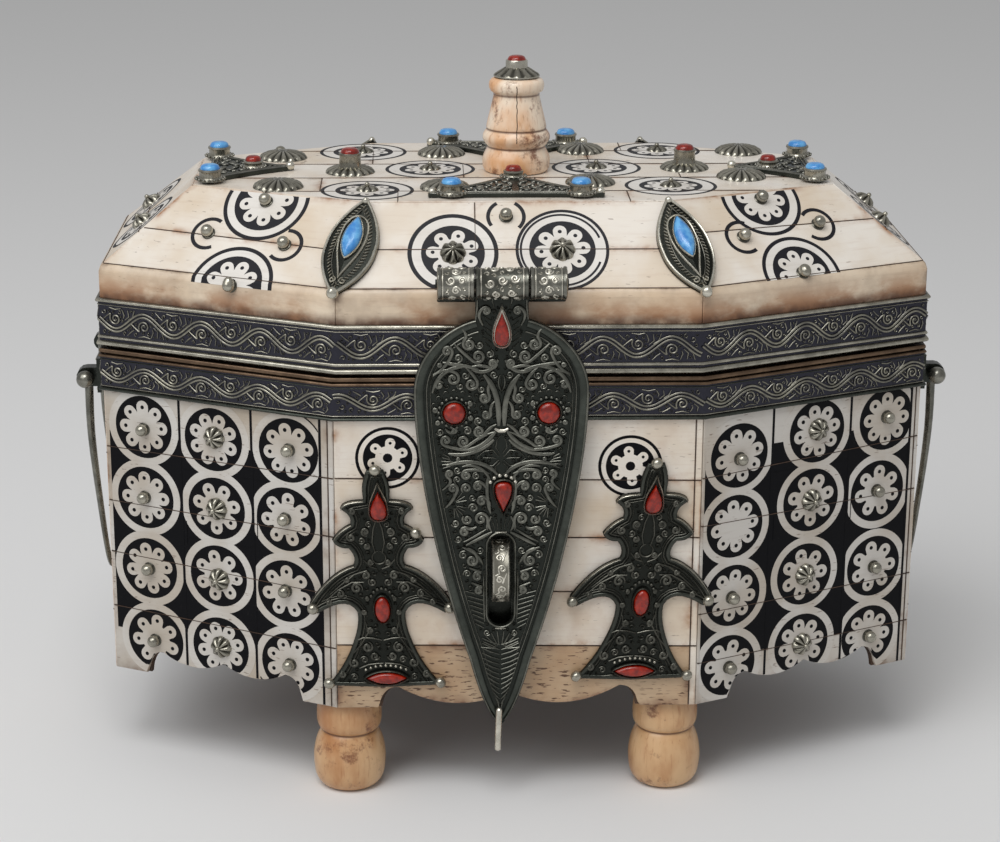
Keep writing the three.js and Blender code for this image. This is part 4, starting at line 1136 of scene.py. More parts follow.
def drop(x, low, wide, tip, half):
    """A drop's anticlockwise outline, pointed at its tip and widest at wide."""
    rise = tip - wide
    side = quadratic((0, low), (half, low), (half, wide), 8)
    side += bezier((half, wide), (half, wide + rise * 0.4), (half * 0.3, tip - rise * 0.35), (0, tip), 10)
    outline = [*side, (0, tip), *mirrored(side[:0:-1])]
    outline = [(x + across, y) for across, y in outline]
    return outline if tip > low else outline[::-1]


def leaf(x, y, half, reach, count=12):
    """A pointed oval, anticlockwise."""
    side = quadratic((0, -reach), (half * 1.05, -reach * 0.5), (half, 0), count)
    side += quadratic((half, 0), (half * 1.05, reach * 0.5), (0, reach), count)
    outline = [*side, (0, reach), *mirrored(side[:0:-1])]
    return [(x + across, y + along) for across, along in outline]


def inward(outline, distance):
    """An anticlockwise outline moved in, without the loops this makes at its tips."""
    moved = offset(outline, distance)
    return [p for p in moved if min(math.dist(p, q) for q in outline) > distance * 0.86]


def free_circles(surface, outline, smallest, largest, gap):
    """Circles between the lines drawn on a surface, the largest first, each with the way to its neighbour."""
    mark(surface, [*outline, outline[0]])
    taken = drawn[surface]
    (left, low), (right, high) = np.min(outline, 0), np.max(outline, 0)
    xs, ys = (axis.ravel() for axis in np.meshgrid(np.arange(left, right, 0.35), np.arange(low, high, 0.35)))
    inside = np.zeros(len(xs), bool)
    for (ax, ay), (bx, by) in zip(outline, [*outline[1:], outline[0]]):
        if ay != by:
            inside ^= ((ay > ys) != (by > ys)) & (xs < ax + (bx - ax) * (ys - ay) / (by - ay))
    xs, ys = xs[inside], ys[inside]
    lookup = KDTree(len(taken))
    for i, (x, y) in enumerate(taken):
        lookup.insert((x, y, 0), i)
    lookup.balance()
    free = np.array([lookup.find((x, y, 0))[2] for x, y in zip(xs, ys)])
    made = []
    while len(free) and free.max() > smallest + gap:
        i = int(free.argmax())
        x, y, radius = float(xs[i]), float(ys[i]), min(largest, float(free[i]) - gap)
        near = lookup.find((x, y, 0))[0]
        around = [(ox, oy) for ox, oy, _, _ in made if math.hypot(ox - x, oy - y) < 2 * largest + 1]
        to = min([(near.x, near.y), *around], key=lambda point: math.dist(point, (x, y)))
        made.append((x, y, radius, math.degrees(math.atan2(to[1] - y, to[0] - x))))
        free = np.minimum(free, np.hypot(xs - x, ys - y) - radius + gap * 0.75)
    return made


def fill(pile, surface, outline, sizes, width, height, paint=0, signs=(1,), base=0.0, gap=0.6):
    """Fills what is free inside an outline with scrolls that start at their nearest neighbours."""
    for i, (x, y, radius, way) in enumerate(free_circles(surface, outline, *sizes, gap)):
        large = radius > 1.5
        thin = min(width, radius * 0.56)
        path = scroll(x, y, radius - thin / 2 + 0.15, way, (1.45 if large else 0.95) * (-1) ** i)
        rise = height * (0.6 + 0.4 * thin / width)
        section = ROUND if large else LIGHT
        for sign in signs:
            moved = sided(path, sign)
            ridge(pile, surface, moved, thin, rise, paint, section=section, taper=(0.8, 0.7), base=base)
            if large:
                ball(pile, surface, sign * x, y, thin * 0.38, paint, base, 8, 0.6)


def curl(pile, surface, x, y, radius, start, turns, tail, width, height, sign=1, base=0.0):
    """A scroll in relief with a bead in its eye."""
    path = sided(scroll(x, y, radius - width / 2, start, turns, tail), sign)
    ridge(pile, surface, path, width, height, taper=(0.55, 0.6), base=base)
    ball(pile, surface, sign * x, y, width * 0.38, 0, base, 8, 0.6)


def stroke(pile, surface, *path, width=0.7, height=0.6, paint=0, sign=1, base=0.0):
    """A short raised line that is thinner at its ends."""
    ridge(pile, surface, sided(path, sign), width, height, paint, base=base, taper=(0.5, 0.5))


def smooth(points, per=6):
    """Points on a curve through these ones."""
    ends = [points[0], *points, points[-1]]
    made = []
    for a, b, c, d in zip(ends, ends[1:], ends[2:], ends[3:]):
        for i in range(per):
            t = i / per
            cubic = (3 * b - a - 3 * c + d) * t**3
            made.append(0.5 * ((2 * b) + (c - a) * t + (2 * a - 5 * b + 4 * c - d) * t * t + cubic))
    return [*made, points[-1]]


BAR_SIDES, BLOCK_CHAMFER = 14, 0.3


def strap(pile, path, sizes, side, tone):
    """A bar along a path in space, with a half width and a half thickness for each point."""
    n = len(path)
    points = []
    for i, (point, (wide, thick)) in enumerate(zip(path, sizes)):
        way = (path[min(i + 1, n - 1)] - path[max(i - 1, 0)]).normalized()
        across = way.cross(side).normalized()
        through = across.cross(way).normalized()
        for j in range(BAR_SIDES):
            a = 2 * math.pi * j / BAR_SIDES
            points.append(point + across * wide * math.cos(a) + through * thick * math.sin(a))
    pile.add(points, capped(n, BAR_SIDES), 0, tone)


def block(pile, low, high, paint, tone):
    """A box with cut edges."""
    c = BLOCK_CHAMFER
    points = []
    for inset, z in ((c, low[2]), (0, low[2] + c), (0, high[2] - c), (c, high[2])):
        x0, y0, x1, y1 = low[0] + inset, low[1] + inset, high[0] - inset, high[1] - inset
        around = [(x0 + c, y0), (x1 - c, y0), (x1, y0 + c), (x1, y1 - c)]
        around += [(x1 - c, y1), (x0 + c, y1), (x0, y1 - c), (x0, y0 + c)]
        points += [Vector((x, y, z)) for x, y in around]
    pile.add(points, capped(4, 8), paint, tone)


# Metal bands with vine scrolls

BAND_BASE, FIELD_REACH, BEAD_REACH = 0.3, 0.55, 1.75


def bead(low, high, reach):
    """Outline of a rounded moulding between two heights, and its tones."""
    middle, half = (low + high) / 2, (high - low) / 2
    turns = [math.pi * (i / 10 - 0.5) for i in range(11)]
    root = BAND_BASE + 0.1
    curve = [(root + (reach - root) * math.cos(a), middle + half * math.sin(a)) for a in turns]
    return [(BAND_BASE, low), *curve, (BAND_BASE, high)], [0, *(0.3 + 0.7 * math.cos(a) for a in turns), 0]


def flat(low, high, reach, tone):
    return [(BAND_BASE, low), (reach, low), (reach, high), (BAND_BASE, high)], [tone] * 4


def vine(pile, surface, half, low, high, period, trough):
    """A waving double stem with a curl in each of its bends."""
    middle, reach = (low + high) / 2, (high - low) / 2 - 2.3
    count = round(2 * half / 0.9)
    xs = [-half + 2 * half * i / count for i in range(count + 1)]
    path = [(x, middle - reach * math.cos(2 * math.pi * (x - trough) / period)) for x in xs]
    for lane in (-0.62, 0.62):
        ridge(pile, surface, offset(path, lane, False), 0.95, 0.7, 0, taper=(1, 1))
    bend = math.ceil((-half + 2 - trough) / (period / 2))
    while trough + bend * period / 2 < half - 2:
        x, s = trough + bend * period / 2, (-1) ** bend
        tail = (x - 5.2, middle + s * 0.2) if x - 5.2 > -half else None
        curl(pile, surface, x + 0.2, middle + s * 1.0, 2.75, 180 - 25 * s, 1.55 * s, tail, 0.85, 0.7)
        edge = (high - low) / 2 - 0.5
        leaves = [
            [(4.2, 0.9), (5.8, 2.2), (5.4, edge - 0.4)],
            [(5.6, 1.1), (7.4, 2.2), (8.2, edge - 0.2)],
            [(-4.0, 2.4), (-5.2, 3.2), (-6.8, edge - 0.2)],
            [(-2.2, edge), (0.2, edge - 0.5), (2.6, edge)],
            [(3.0, edge - 0.3), (3.9, 2.5), (3.5, 1.4)],
        ]
        for shape in leaves:
            moved = [(x + dx, middle + s * dy) for dx, dy in shape]
            if all(abs(px) < half - 0.4 for px, py in moved):
                ridge(pile, surface, moved, 0.95, 0.6, 0, taper=(0.5, 0.4))
        bend += 1
    x, low, high = half - 0.5, low + 0.1, high - 0.1
    field = [(-x, low), (x, low), (x, high), (-x, high)]
    fill(pile, surface, field, (0.55, 1.3), 0.75, 0.6, gap=0.5)


def band(name, node, body, plan, courses, field, front_trough):
    pile = Pile(name, body, "silvered_metal", FIELD_METAL, STUD_METAL, DARK_METAL, RIM_METAL)
    for (profile, tones), paint in courses:
        sweep(pile, plan, profile, paint, tones)
    low, high = field
    for k in range(8):
        side = Side(k, [(plan, -FIELD_REACH, low), (plan, -FIELD_REACH, high)], low)
        half = side.right[0] - 0.3
        if k == 7:
            period, trough = 24, front_trough
        else:
            period = 2 * half / round(2 * half / 24)
            trough = -half + period * 0.28
        vine(pile, side, half, low, high, period, trough)
    pile.piece(node, sharp=50)


def bands():
    z = band_bottom
    base_courses = [
        (bead(z, z + 1.5, BEAD_REACH), 2),
        (flat(z + 1.5, z + 12.6, FIELD_REACH, 0.0), 0),
        (bead(z + 1.6, z + 2.1, 1.0), 1),
        (bead(z + 11.6, z + 12.1, 0.9), 2),
        (bead(z + 12.5, z + 13.8, 1.3), 3),
    ]
    band("base_band_relief", "base_band", "base", wall_plan, base_courses, (z + 2.1, z + 11.6), -51)
    z = lid_bottom
    top = lid_band_top - z
    lid_courses = [
        (bead(z, z + 2.1, BEAD_REACH), 1),
        (flat(z + 2.0, z + top - 1.5, FIELD_REACH, 0.0), 0),
        (bead(z + 2.7, z + 4.1, 1.25), 1),
        (bead(z + top - 2.7, z + top - 2.2, 1.0), 1),
        (bead(z + top - 1.7, z + top, 1.6), 1),
    ]
    band("lid_band_relief", "lid_band", "lid", lid_plan, lid_courses, (z + 4.2, z + top - 2.7), -55)
    rim = Pile("rim_moulding", "base", "brass", RIM_METAL)
    outline, tones = bead(rim_bottom, rim_top, 0.95)
    sweep(rim, wall_plan, [(-1.8, rim_bottom), *outline[1:-1], (-1.8, rim_top)], 0, tones)
    rim.piece("rim_strip")


# Hasp with its stones, its hinge and its staple

hasp_low, hasp_high = span("hasp")
HASP_X = (hasp_low.x + hasp_high.x) / 2
HASP_TIP = hasp_low.z
HASP_AXIS_Z = crease_height + 3.7
BARREL_RADIUS, BORE = 5.7, 1.85
HASP_AXIS_Y = hasp_high.y - BARREL_RADIUS
HASP_FRONT = HASP_AXIS_Y - 0.9
HASP_HALF, HASP_NECK = 30.4, 9.15
HASP_SHOULDER, HASP_WIDEST = HASP_AXIS_Z - 12.5, HASP_AXIS_Z - 38.5
STAPLE_Z = HASP_AXIS_Z - 106
SLOT_LOW, SLOT_HIGH, SLOT_RADIUS = STAPLE_Z - 19, STAPLE_Z + 15.6, 4.5
hasp_face = Face((HASP_X, HASP_FRONT, 0), (1, 0, 0), (0, 0, 1))
GROUND = -0.5
# Scrolls on the right half: across, height, radius, first angle, turns, and where the tail begins.
HASP_CURLS = [
    (11.3, 173.8, 3.0, 40, -1.6, (13.6, 179.2)),
    (8.2, 169.5, 3.2, -50, -1.5, (16.4, 174)),
    (18.8, 171.3, 2.7, 200, -1.4, (23.6, 163)),
    (3.2, 166.9, 2.5, -70, -1.5, (10.5, 165.8)),
    (10.5, 159.5, 3.1, 150, 1.5, (12.6, 165.6)),
    (16.8, 161.5, 3.1, 120, 1.35, (23.6, 162.5)),
    (21.6, 159.2, 2.4, 150, -1.3, None),
    (6.0, 154.6, 2.7, 160, 1.5, (3.6, 161)),
    (5.3, 148.6, 2.4, 170, 1.45, (2.2, 153.5)),
    (7.7, 142.5, 2.9, 215, 1.55, (1.8, 145)),
    (13.1, 138.9, 3.1, 230, 1.5, (2.6, 142.2)),
    (19.2, 139.2, 2.7, 290, 1.35, (5.0, 136.8)),
    (12.2, 126.5, 2.5, 80, -1.5, (4.2, 127)),
    (18.0, 127.0, 2.2, -60, 1.3, (20.4, 121)),
    (8.1, 122.4, 2.5, 120, -1.45, (4.6, 119.5)),
    (16.9, 121.6, 2.5, 200, -1.35, (19.4, 114.5)),
    (6.8, 116.9, 2.5, 120, -1.4, (4.2, 113.5)),
    (7.1, 110.3, 3.2, 180, -1.45, (3.4, 105.8)),
    (12.8, 105.5, 2.5, 120, -1.4, (8.6, 107.4)),
    (10.2, 94.8, 2.8, 170, 1.5, (11.8, 99.4)),
    (8.2, 88.8, 2.5, 110, -1.4, (11.2, 92)),
    (7.7, 83.4, 2.2, 110, -1.35, (10.4, 86.4)),
    (5.4, 185.6, 2.2, 60, 1.4, (6.6, 180.5)),
    (5.6, 190.2, 1.9, 200, -1.3, None),
    (21.5, 166.4, 1.5, 100, 1.2, None),
    (16.4, 142.9, 1.6, 250, -1.2, (19.5, 143.6)),
    (15.0, 132.4, 1.3, 200, 1.1, None),
    (22.8, 150.2, 1.6, 80, -1.2, None),
    (22.2, 145.6, 1.5, 90, 1.2, None),
    (10.8, 147.2, 1.5, 30, 1.2, None),
    (11.0, 152.4, 1.6, 30, 1.2, None),
]


def hasp_side():
    """Right edge of the hasp, from its axis down to its tip."""
    z, half, wide = HASP_SHOULDER, HASP_HALF, HASP_WIDEST
    path = [(HASP_NECK, HASP_AXIS_Z - 5), (HASP_NECK, z + 2)]
    path += bezier((HASP_NECK, z), (HASP_NECK + 9, z - 2), (half, wide + 14), (half, wide), 26)
    path += bezier((half, wide), (half, wide - 22), (half * 0.78, wide - 62), (11, HASP_TIP + 26), 30)
    path += quadratic((11, HASP_TIP + 26), (6, HASP_TIP + 6), (0, HASP_TIP), 12)
    return path


def hasp_width(z):
    """Half width of the hasp at a height."""
    return level_along([(-z, x) for x, z in hasp_side()], -z)


def slot_edge(radius):
    """Right half of an outline round the slot, rounded by this radius."""
    low = arc(0, SLOT_LOW + SLOT_RADIUS, radius, -90, 0, 8)
    return low + arc(0, SLOT_HIGH - SLOT_RADIUS, radius, 0, 90, 8)


def hasp_inset(edge, distance, middle, below):
    """An edge of the hasp moved in, as far as it lies beyond the middle and below the shoulder."""
    return [(x, z) for x, z in offset(edge, -distance, False) if x > middle and z < HASP_SHOULDER - below]


def hasp():
    pile = Pile("hasp_relief", "hasp", "silvered_metal", HASP_METAL, BRIGHT_METAL, DARK_METAL)
    side = hasp_side()
    body = [point for point in side[2:] if point[0] > 1.9]
    neck_x = HASP_NECK - 0.7
    neck = [(neck_x, HASP_AXIS_Z - 5.5), (neck_x, HASP_SHOULDER + 4), (neck_x + 0.5, HASP_SHOULDER)]
    # Lines along the edge: path, width, height, paint, taper and height of their foot
    lines = [
        (offset(body, -1.75, False), 3.5, 0.75, 2, (0.7, 0.5), 0.15),
        (offset(body, -0.55, False), 1.0, 0.8, 0, (1, 0.6), 0.3),
        (hasp_inset(body, 4.5, 1.0, 2), 0.75, 0.7, 0, (1, 0.5), 0),
        (hasp_inset(body, 5.7, 1.0, 6), 0.5, 0.5, 0, (1, 0.5), 0),
        (neck, 1.3, 0.9, 0, (0.5, 0.5), 0),
        ([(3.2, 193), (3.4, 189), (2.6, 186.5)], 0.8, 0.6, 0, (0.5, 0.5), 0),
    ]
    for sign in (1, -1):
        half = [(0, HASP_AXIS_Z - 5), *side, (0, HASP_TIP), *slot_edge(SLOT_RADIUS)]
        plate(pile, hasp_face, half if sign > 0 else mirrored(half)[::-1], -1.8, GROUND, 2, 0.0)
        for path, width, height, paint, taper, foot in lines:
            ridge(pile, hasp_face, sided(path, sign), width, height, paint, taper=taper, base=GROUND + foot)
        for x, z, radius, start, turns, tail in HASP_CURLS:
            curl(pile, hasp_face, x, z, radius, start, turns, tail, 1.6, 1.15, sign, GROUND)
        hasp_stems(pile, sign)
        hasp_strokes(pile, sign)
        rim = sided(slot_edge(SLOT_RADIUS + 0.55), sign)
        ridge(pile, hasp_face, rim, 0.9, 0.9, 0, taper=(1, 1), base=GROUND)
    # Strokes across the middle: points, width, height and paint
    strokes = [
        ([(-2, 105.3), (0, 105.3), (2, 105.3)], 0.8, 1.1, 1),
        ([(-1.9, SLOT_LOW - 1), (0, SLOT_LOW - 1.1), (1.9, SLOT_LOW - 1)], 0.7, 1, 1),
        ([(-2.4, 143.4), (-1, 142.6), (1, 142.6), (2.4, 143.4)], 2.2, 1.3, 1),
        ([(0, 156), (0, 159), (0, 162)], 0.6, 0.6, 0),
    ]
    for points, width, height, paint in strokes:
        stroke(pile, hasp_face, *points, width=width, height=height, paint=paint, base=GROUND)
    barrel(pile, -HASP_NECK, HASP_NECK)
    gems = Pile("hasp_corals", "hasp", "coral", CORAL)
    hasp_gems(pile, gems)
    for x in (0, 1.2, 2.4, 3.6):
        mark(hasp_face, [(x, SLOT_LOW), (x, SLOT_HIGH)])
    mark(hasp_face, [(0, HASP_TIP), (0, HASP_AXIS_Z)])
    inner = hasp_inset(side[2:], 6.2, 0.4, 3)
    neck_x, neck_top = HASP_NECK - 1.6, HASP_AXIS_Z - 7
    field = [(0.3, neck_top), (neck_x, neck_top), (neck_x, HASP_SHOULDER - 1), *inner, (0.3, inner[-1][1])]
    fill(pile, hasp_face, field, (0.6, 2.4), 1.45, 1.05, signs=(1, -1), base=GROUND, gap=0.4)
    pile.piece("hasp", sharp=50)
    gems.piece("hasp_coral", sharp=60)


def hasp_stems(pile, sign):
    stems = [
        (bezier((0.95, 144.5), (0.95, 152), (1.2, 158), (7.2, 164), 18), 1.7, 1.0),
        (bezier((7.0, 163.8), (10.5, 166.5), (16, 166.2), (21.5, 167.6), 14), 1.2, 0.9),
        (bezier((1.2, 168.2), (3.5, 163.2), (7.5, 163.2), (11.5, 165.2), 12), 1.2, 0.95),
        (bezier((12.6, 165.8), (18, 166), (23, 163), (24.2, 155), 16), 1.3, 0.9),
        (bezier((2.0, 142.5), (5, 138), (9, 135.6), (13.5, 135.6), 14), 1.3, 1.0),
        (bezier((2.6, 139.5), (7, 134.4), (15, 132.8), (19.5, 134.8), 14), 1.2, 0.9),
        (bezier((1.4, 126.6), (5, 131.8), (13, 132.6), (20.6, 129.4), 16), 1.3, 0.9),
        (bezier((3.8, 124.5), (6, 130), (11, 131), (14.5, 129.2), 12), 1.0, 0.8),
        (bezier((3.2, 105.4), (6.5, 103.6), (10, 101.6), (13.6, 99.8), 8), 1.1, 1.0),
        (bezier((5.2, 106.4), (8, 104.4), (11, 102.4), (14.4, 101.2), 8), 0.8, 0.7),
        (bezier((13.6, 99.6), (10, 98.6), (7, 96), (5.9, 92), 12), 0.9, 0.8),
        (bezier((12.4, 99), (9.8, 98), (7.8, 96.2), (7.2, 93.4), 10), 0.8, 0.7),
        (bezier((0.2, 157), (1.5, 159.2), (1.4, 161.4), (0.2, 163.4), 10), 0.6, 0.7),
        (bezier((4.6, 126), (5.4, 121), (4.6, 115), (3.4, 111.4), 12), 1.2, 0.9),
        (bezier((3.4, 111.2), (5.0, 108.6), (5.4, 107), (4.4, 105.6), 8), 0.9, 0.8),
        (bezier((5.9, 91), (6.2, 84), (5.8, 76), (5.6, 70), 12), 0.6, 0.6),
    ]
    for path, width, height in stems:
        ridge(pile, hasp_face, sided(path, sign), width * 1.5, height + 0.2, 0, base=GROUND, taper=(0.6, 0.5))
    # Four pointed leaves round a middle point
    leaves = [
        [(0.9, 133.2), (3.0, 135.6), (6.0, 135.2), (8.4, 133.0)],
        [(0.9, 132.0), (3.0, 129.8), (6.0, 130.4), (8.4, 132.6)],
        [(1.8, 132.6), (4.0, 132.8), (6.4, 132.8)],
        [(0.5, 134.4), (2.0, 136.6), (1.5, 139.2), (0.3, 141)],
        [(0.5, 131), (2.2, 129.4), (1.8, 127.6), (0.4, 126.4)],
        [(2.6, 137.2), (3.4, 138.8), (2.6, 140.6)],
    ]
    for points in leaves:
        stroke(pile, hasp_face, *points, width=0.7, height=0.75, sign=sign, base=GROUND)


def hasp_strokes(pile, sign):
    """Short chased strokes that fill the hasp between its scrolls."""

    def draw(*points, width=1.0):
        stroke(pile, hasp_face, *points, width=width, height=0.8, sign=sign, base=GROUND)

    for i in range(-2, 3):
        end = (20.9 - abs(i) * 0.3, 131.6 + i * 1.3)
        draw((17 + i * 0.5, 131.3 + i * 0.5), (18.4, 131.4 + i * 0.9), end)
    for base_z, angles in ((116.2, (88, 108, 128, 148, 168)), (115.2, (190, 208, 228, 248, 266))):
        for angle in angles:
            a = math.radians(angle)
            points = [(16.6 + reach * math.cos(a), base_z + reach * math.sin(a)) for reach in (1.0, 2.8, 4.6)]
            draw(*points)
    for i in range(-2, 3):
        if i * sign >= 0:
            draw((abs(i) * 1.1, 106.3), (abs(i) * 1.3, 108.2), (abs(i) * 1.7, 110.2), width=0.75)
    for i in range(8):
        z = 69.8 + i * 1.75
        wide = hasp_width(z) - 6.0
        if wide > 5.8:
            draw((5.9, z - 0.7), ((5.9 + wide) / 2, z + 0.2), (wide, z + 1.1))
    for i in range(5):
        a = math.radians(8 + i * 19)
        draw(*[(0.3 + reach * math.sin(a), 61.0 + reach * math.cos(a) * 1.05) for reach in (1.5, 4, 6.6)])
    z = 38.0
    while z < 63:
        wide = min(hasp_width(z + 2) - 4.6, 6.5)
        if wide > 0.8:
            draw((0.35, z), (wide * 0.55, z + 1.0), (wide, z + 2.5))
        z += 1.9
    for i in range(6):
        z = 172.5 + i * 1.9
        draw((3.6, z), (4.6, z + 0.6), (5.8 + (i % 2) * 0.8, z + 1.9), width=0.55)
    for i in range(5):
        z = 168.5 - i * 2.0
        draw((22.0 + i * 0.5, z + 1.4), (23.4 + i * 0.25, z), (24.4 + i * 0.1, z - 1.6), width=0.55)
    for x, z in ((2.2, 101.8), (3.6, 100.9), (5.0, 100.0), (6.4, 98.9)):
        draw((x + 2.8, z + 0.8), (x + 3.8, z + 1.6), width=0.6)


HASP_GEM_Z = 149.3


def hasp_gems(pile, gems):
    dome(gems, hasp_face, drop(0, 173.2, 176.6, 185.4, 2.5), 0.2, 1.7)
    rim = drop(0, 172.7, 177, 187.6, 3.1)
    ridge(pile, hasp_face, rim, 0.8, 1.5, 1, True, base=-0.2)
    plate(pile, hasp_face, offset(rim, 0.3), -1, 0.2, 1, 0.7)
    for x in (-16.4, 16.4):
        dome(gems, hasp_face, circle(x, HASP_GEM_Z, 3.9, 28), 0.2, 2.3)
        bezel(pile, hasp_face, circle(x, HASP_GEM_Z, 4.0, 28), 0.8, 1.7, 0, -0.3)
        beads(pile, hasp_face, x, HASP_GEM_Z, (5.35, 5.35), range(0, 360, 20), 0.62, 0, -0.4)
        for i in range(7):
            angle = 20 + 140 * i / 6
            a = math.radians(angle)
            px, pz = x + 7.3 * math.cos(a), HASP_GEM_Z + 7.3 * math.sin(a)
            ridge(pile, hasp_face, arc(px, pz, 0.9, angle - 110, angle + 110, 8), 0.5, 0.6, 0, base=GROUND)
    dome(gems, hasp_face, drop(0.8, 124.1, 121.6, 112.8, 3.0), 0.2, 2.0)
    bezel(pile, hasp_face, drop(0.8, 124.6, 121.6, 112.0, 3.3), 0.9, 1.7, 0, -0.3)
    beads(pile, hasp_face, 0.6, 121.9, (4.9, 4.5), range(28, 154, 25), 0.75, 1, -0.4)


def barrel(pile, left, right):
    """An engraved tube round the hasp's pin."""
    length = right - left
    end = Face((HASP_X + left, HASP_AXIS_Y, HASP_AXIS_Z), (0, 1, 0), (0, 0, 1))
    r = BARREL_RADIUS
    profile = [(BORE, 0), (r - 0.5, 0), (r, 0.35), (r, 1.0), (r - 0.45, 1.4)]
    profile += [(radius, length - height) for radius, height in profile[:0:-1]] + [(BORE, length)]
    ringed(pile, end, profile, 36, 0, 0.8)
    roll = Roll((HASP_X + left, HASP_AXIS_Y, HASP_AXIS_Z), (1, 0, 0), (0, -1, 0), r - 0.45)
    for x in (1.9, length - 1.9):
        ridge(pile, roll, [(x, around * 0.5 - 11) for around in range(38)], 0.5, 0.3, 1, taper=(1, 1))
    around = [(2.2, -11), (length - 2.2, -11), (length - 2.2, 7.5), (2.2, 7.5)]
    fill(pile, roll, around, (0.6, 1.9), 0.95, 0.55, 1, base=-0.15, gap=0.45)


def hasp_hinge():
    pile = Pile("hasp_hinge_relief", "lid", "silvered_metal", METAL, BRIGHT_METAL, DARK_METAL)
    low, high = span("hasp_hinge")
    back = -half_depth - FIT
    # The plate behind the knuckles is the darkest metal with no wear: painted shade for the shadow under the
    # barrel.
    block(pile, (low.x, back - 1.2, low.z), (high.x, back, crease_height - 1), 2, 0.0)
    left, right = low.x - HASP_X, high.x - HASP_X
    for a, b in ((left, -HASP_NECK - FIT), (HASP_NECK + FIT, right)):
        barrel(pile, a, b)
        x0, x1 = HASP_X + a + 0.4, HASP_X + b - 0.4
        arm = Face((x0, 0, 0), (0, 1, 0), (0, 0, 1))
        front, low_z, high_z = HASP_AXIS_Y + BORE + 0.4, HASP_AXIS_Z - 5.2, HASP_AXIS_Z - 1.2
        outline = [(front, low_z), (back - 0.8, crease_height - 3), (back, crease_height - 3)]
        outline += [(back, high_z), (front, high_z)]
        plate(pile, arm, outline, 0, x1 - x0, 0, 0.3)
    pile.piece("hasp_hinge", sharp=50)


def staple():
    pile = Pile("staple_engraved", "base", "silvered_metal", BRIGHT_METAL)
    low, high = span("staple")
    middle, half, radius = (low.x + high.x) / 2, (high.x - low.x) / 2, (high.z - low.z) / 2
    back, axis_z, inner = high.y, (low.z + high.z) / 2, radius - 2.4
    section = [(-half, inner), (-half, radius - 0.5), (-half + 0.4, radius), (-half + 0.9, radius - 0.35)]
    section += [(-x, r) for x, r in section[::-1]]
    steps = 40
    points, tones = [], []
    for i in range(steps + 1):
        a = math.pi * (i / steps - 0.5)
        for x, r in section:
            points.append(Vector((middle + x, back - r * math.cos(a), axis_z + r * math.sin(a))))
            tones.append(0.9 if r > radius - 0.2 else 0.3)
    pile.add(points, capped(steps + 1, len(section)), 0, tones)
    roll = Roll((middle, back, axis_z), (1, 0, 0), (0, -1, 0), radius - 0.4)
    for i in range(9):
        y = (i - 4) * 3.9
        spin = 1 if i % 2 else -1
        path = scroll(0.5 * spin, y, 1.5, 90 + 60 * spin, 1.4 * spin, (-2.0 * spin, y + 2.4 * spin))
        ridge(pile, roll, path, 0.85, 0.34, taper=(0.6, 0.6))
    pile.piece("staple", sharp=50)
    # A dark metal plate behind the slot: painted shade, standing in for the shadow inside the slot.
    shade_plate = Pile("staple_shade_plate", "base", "silvered_metal", TREE_EDGE)
    x = HASP_X
    outline = arc(x, SLOT_HIGH - 3.2, 5, 0, 180, 16) + arc(x, SLOT_LOW + 1.4, 5, 180, 360, 16)
    plate(shade_plate, walls[7], outline, -0.3, 0.45, 0, 0.0)
    ridge(shade_plate, walls[7], inward(outline, 0.6), 0.8, 0.3, 0, True, base=0.4)
    shade_plate.piece(sharp=50)


def hasp_wire():
    pile = Pile("hasp_wire_bent", "hasp", "silvered_metal", BRIGHT_METAL)
    low, high = span("hasp_wire")
    x, y = HASP_X, high.y - 1.3
    points = [(x - 0.4, y, high.z - 1.2), (x - 0.6, y - 0.2, HASP_TIP + 2)]
    points += [(x - 0.8, y - 0.4, HASP_TIP - 4), (x - 0.8, y, low.z + 1.2)]
    path = smooth([Vector(point) for point in points], 7)
    sizes = [(0.7, 0.7), *[(1.15, 1.15)] * (len(path) - 2), (0.7, 0.7)]
    strap(pile, path, sizes, Vector((0, 1, 0)), 0.9)
    pile.piece("hasp_wire")


# Tree ornaments

TREE_LEAN = {"left": 0.035, "right": -0.092}
TREE_MIDDLE = {"left": -47.6, "right": 41.0}
TREE_RISE = {"left": 8.3, "right": 10.3}
TREE_START = (20.9, 1.2)
# Right edge of a tree: each row bends towards its first place and ends at its second.
TREE_CURVES = [
    (13.2, 9, 9.6, 21), (8.2, 26, 8.7, 29.5), (12, 36, 22.6, 29), (26.5, 29, 25.4, 33.5),
    (18, 45, 9.2, 47.6), (8, 50.5, 10.6, 53.6), (15, 53.4, 16.4, 57), (14, 61, 9.6, 63),
    (9, 66.4, 13.2, 68.4), (12.6, 72, 4.6, 72), (5.8, 77, 3, 83),
]
TREE_THICKNESS = 1.8
# Scrolls on a tree: across, height, radius, first angle and turns.
TREE_CURLS = [
    (8.5, 38.8, 2.9, 200, -1.5), (5.1, 43.6, 2.4, 20, 1.4), (14.4, 36.6, 2.2, 60, 1.3),
    (18.6, 33.4, 1.7, 90, 1.2), (4.4, 60.0, 2.3, 250, 1.4), (9.6, 58.0, 2.3, 60, -1.4),
    (4.2, 54.6, 1.9, 100, 1.3), (8.8, 67.6, 1.9, 30, 1.3), (5.6, 16.2, 2.7, 100, 1.5),
    (10.6, 10.2, 2.5, 60, -1.4), (4.2, 22.6, 1.9, 250, 1.3), (15.2, 5.6, 2.0, 80, 1.3),
    (6.1, 29.6, 1.6, 60, -1.3), (3.0, 48.6, 1.7, 200, 1.3), (11.8, 42.0, 1.7, 30, -1.2),
    (4.9, 34.6, 1.4, 20, 1.2),
]


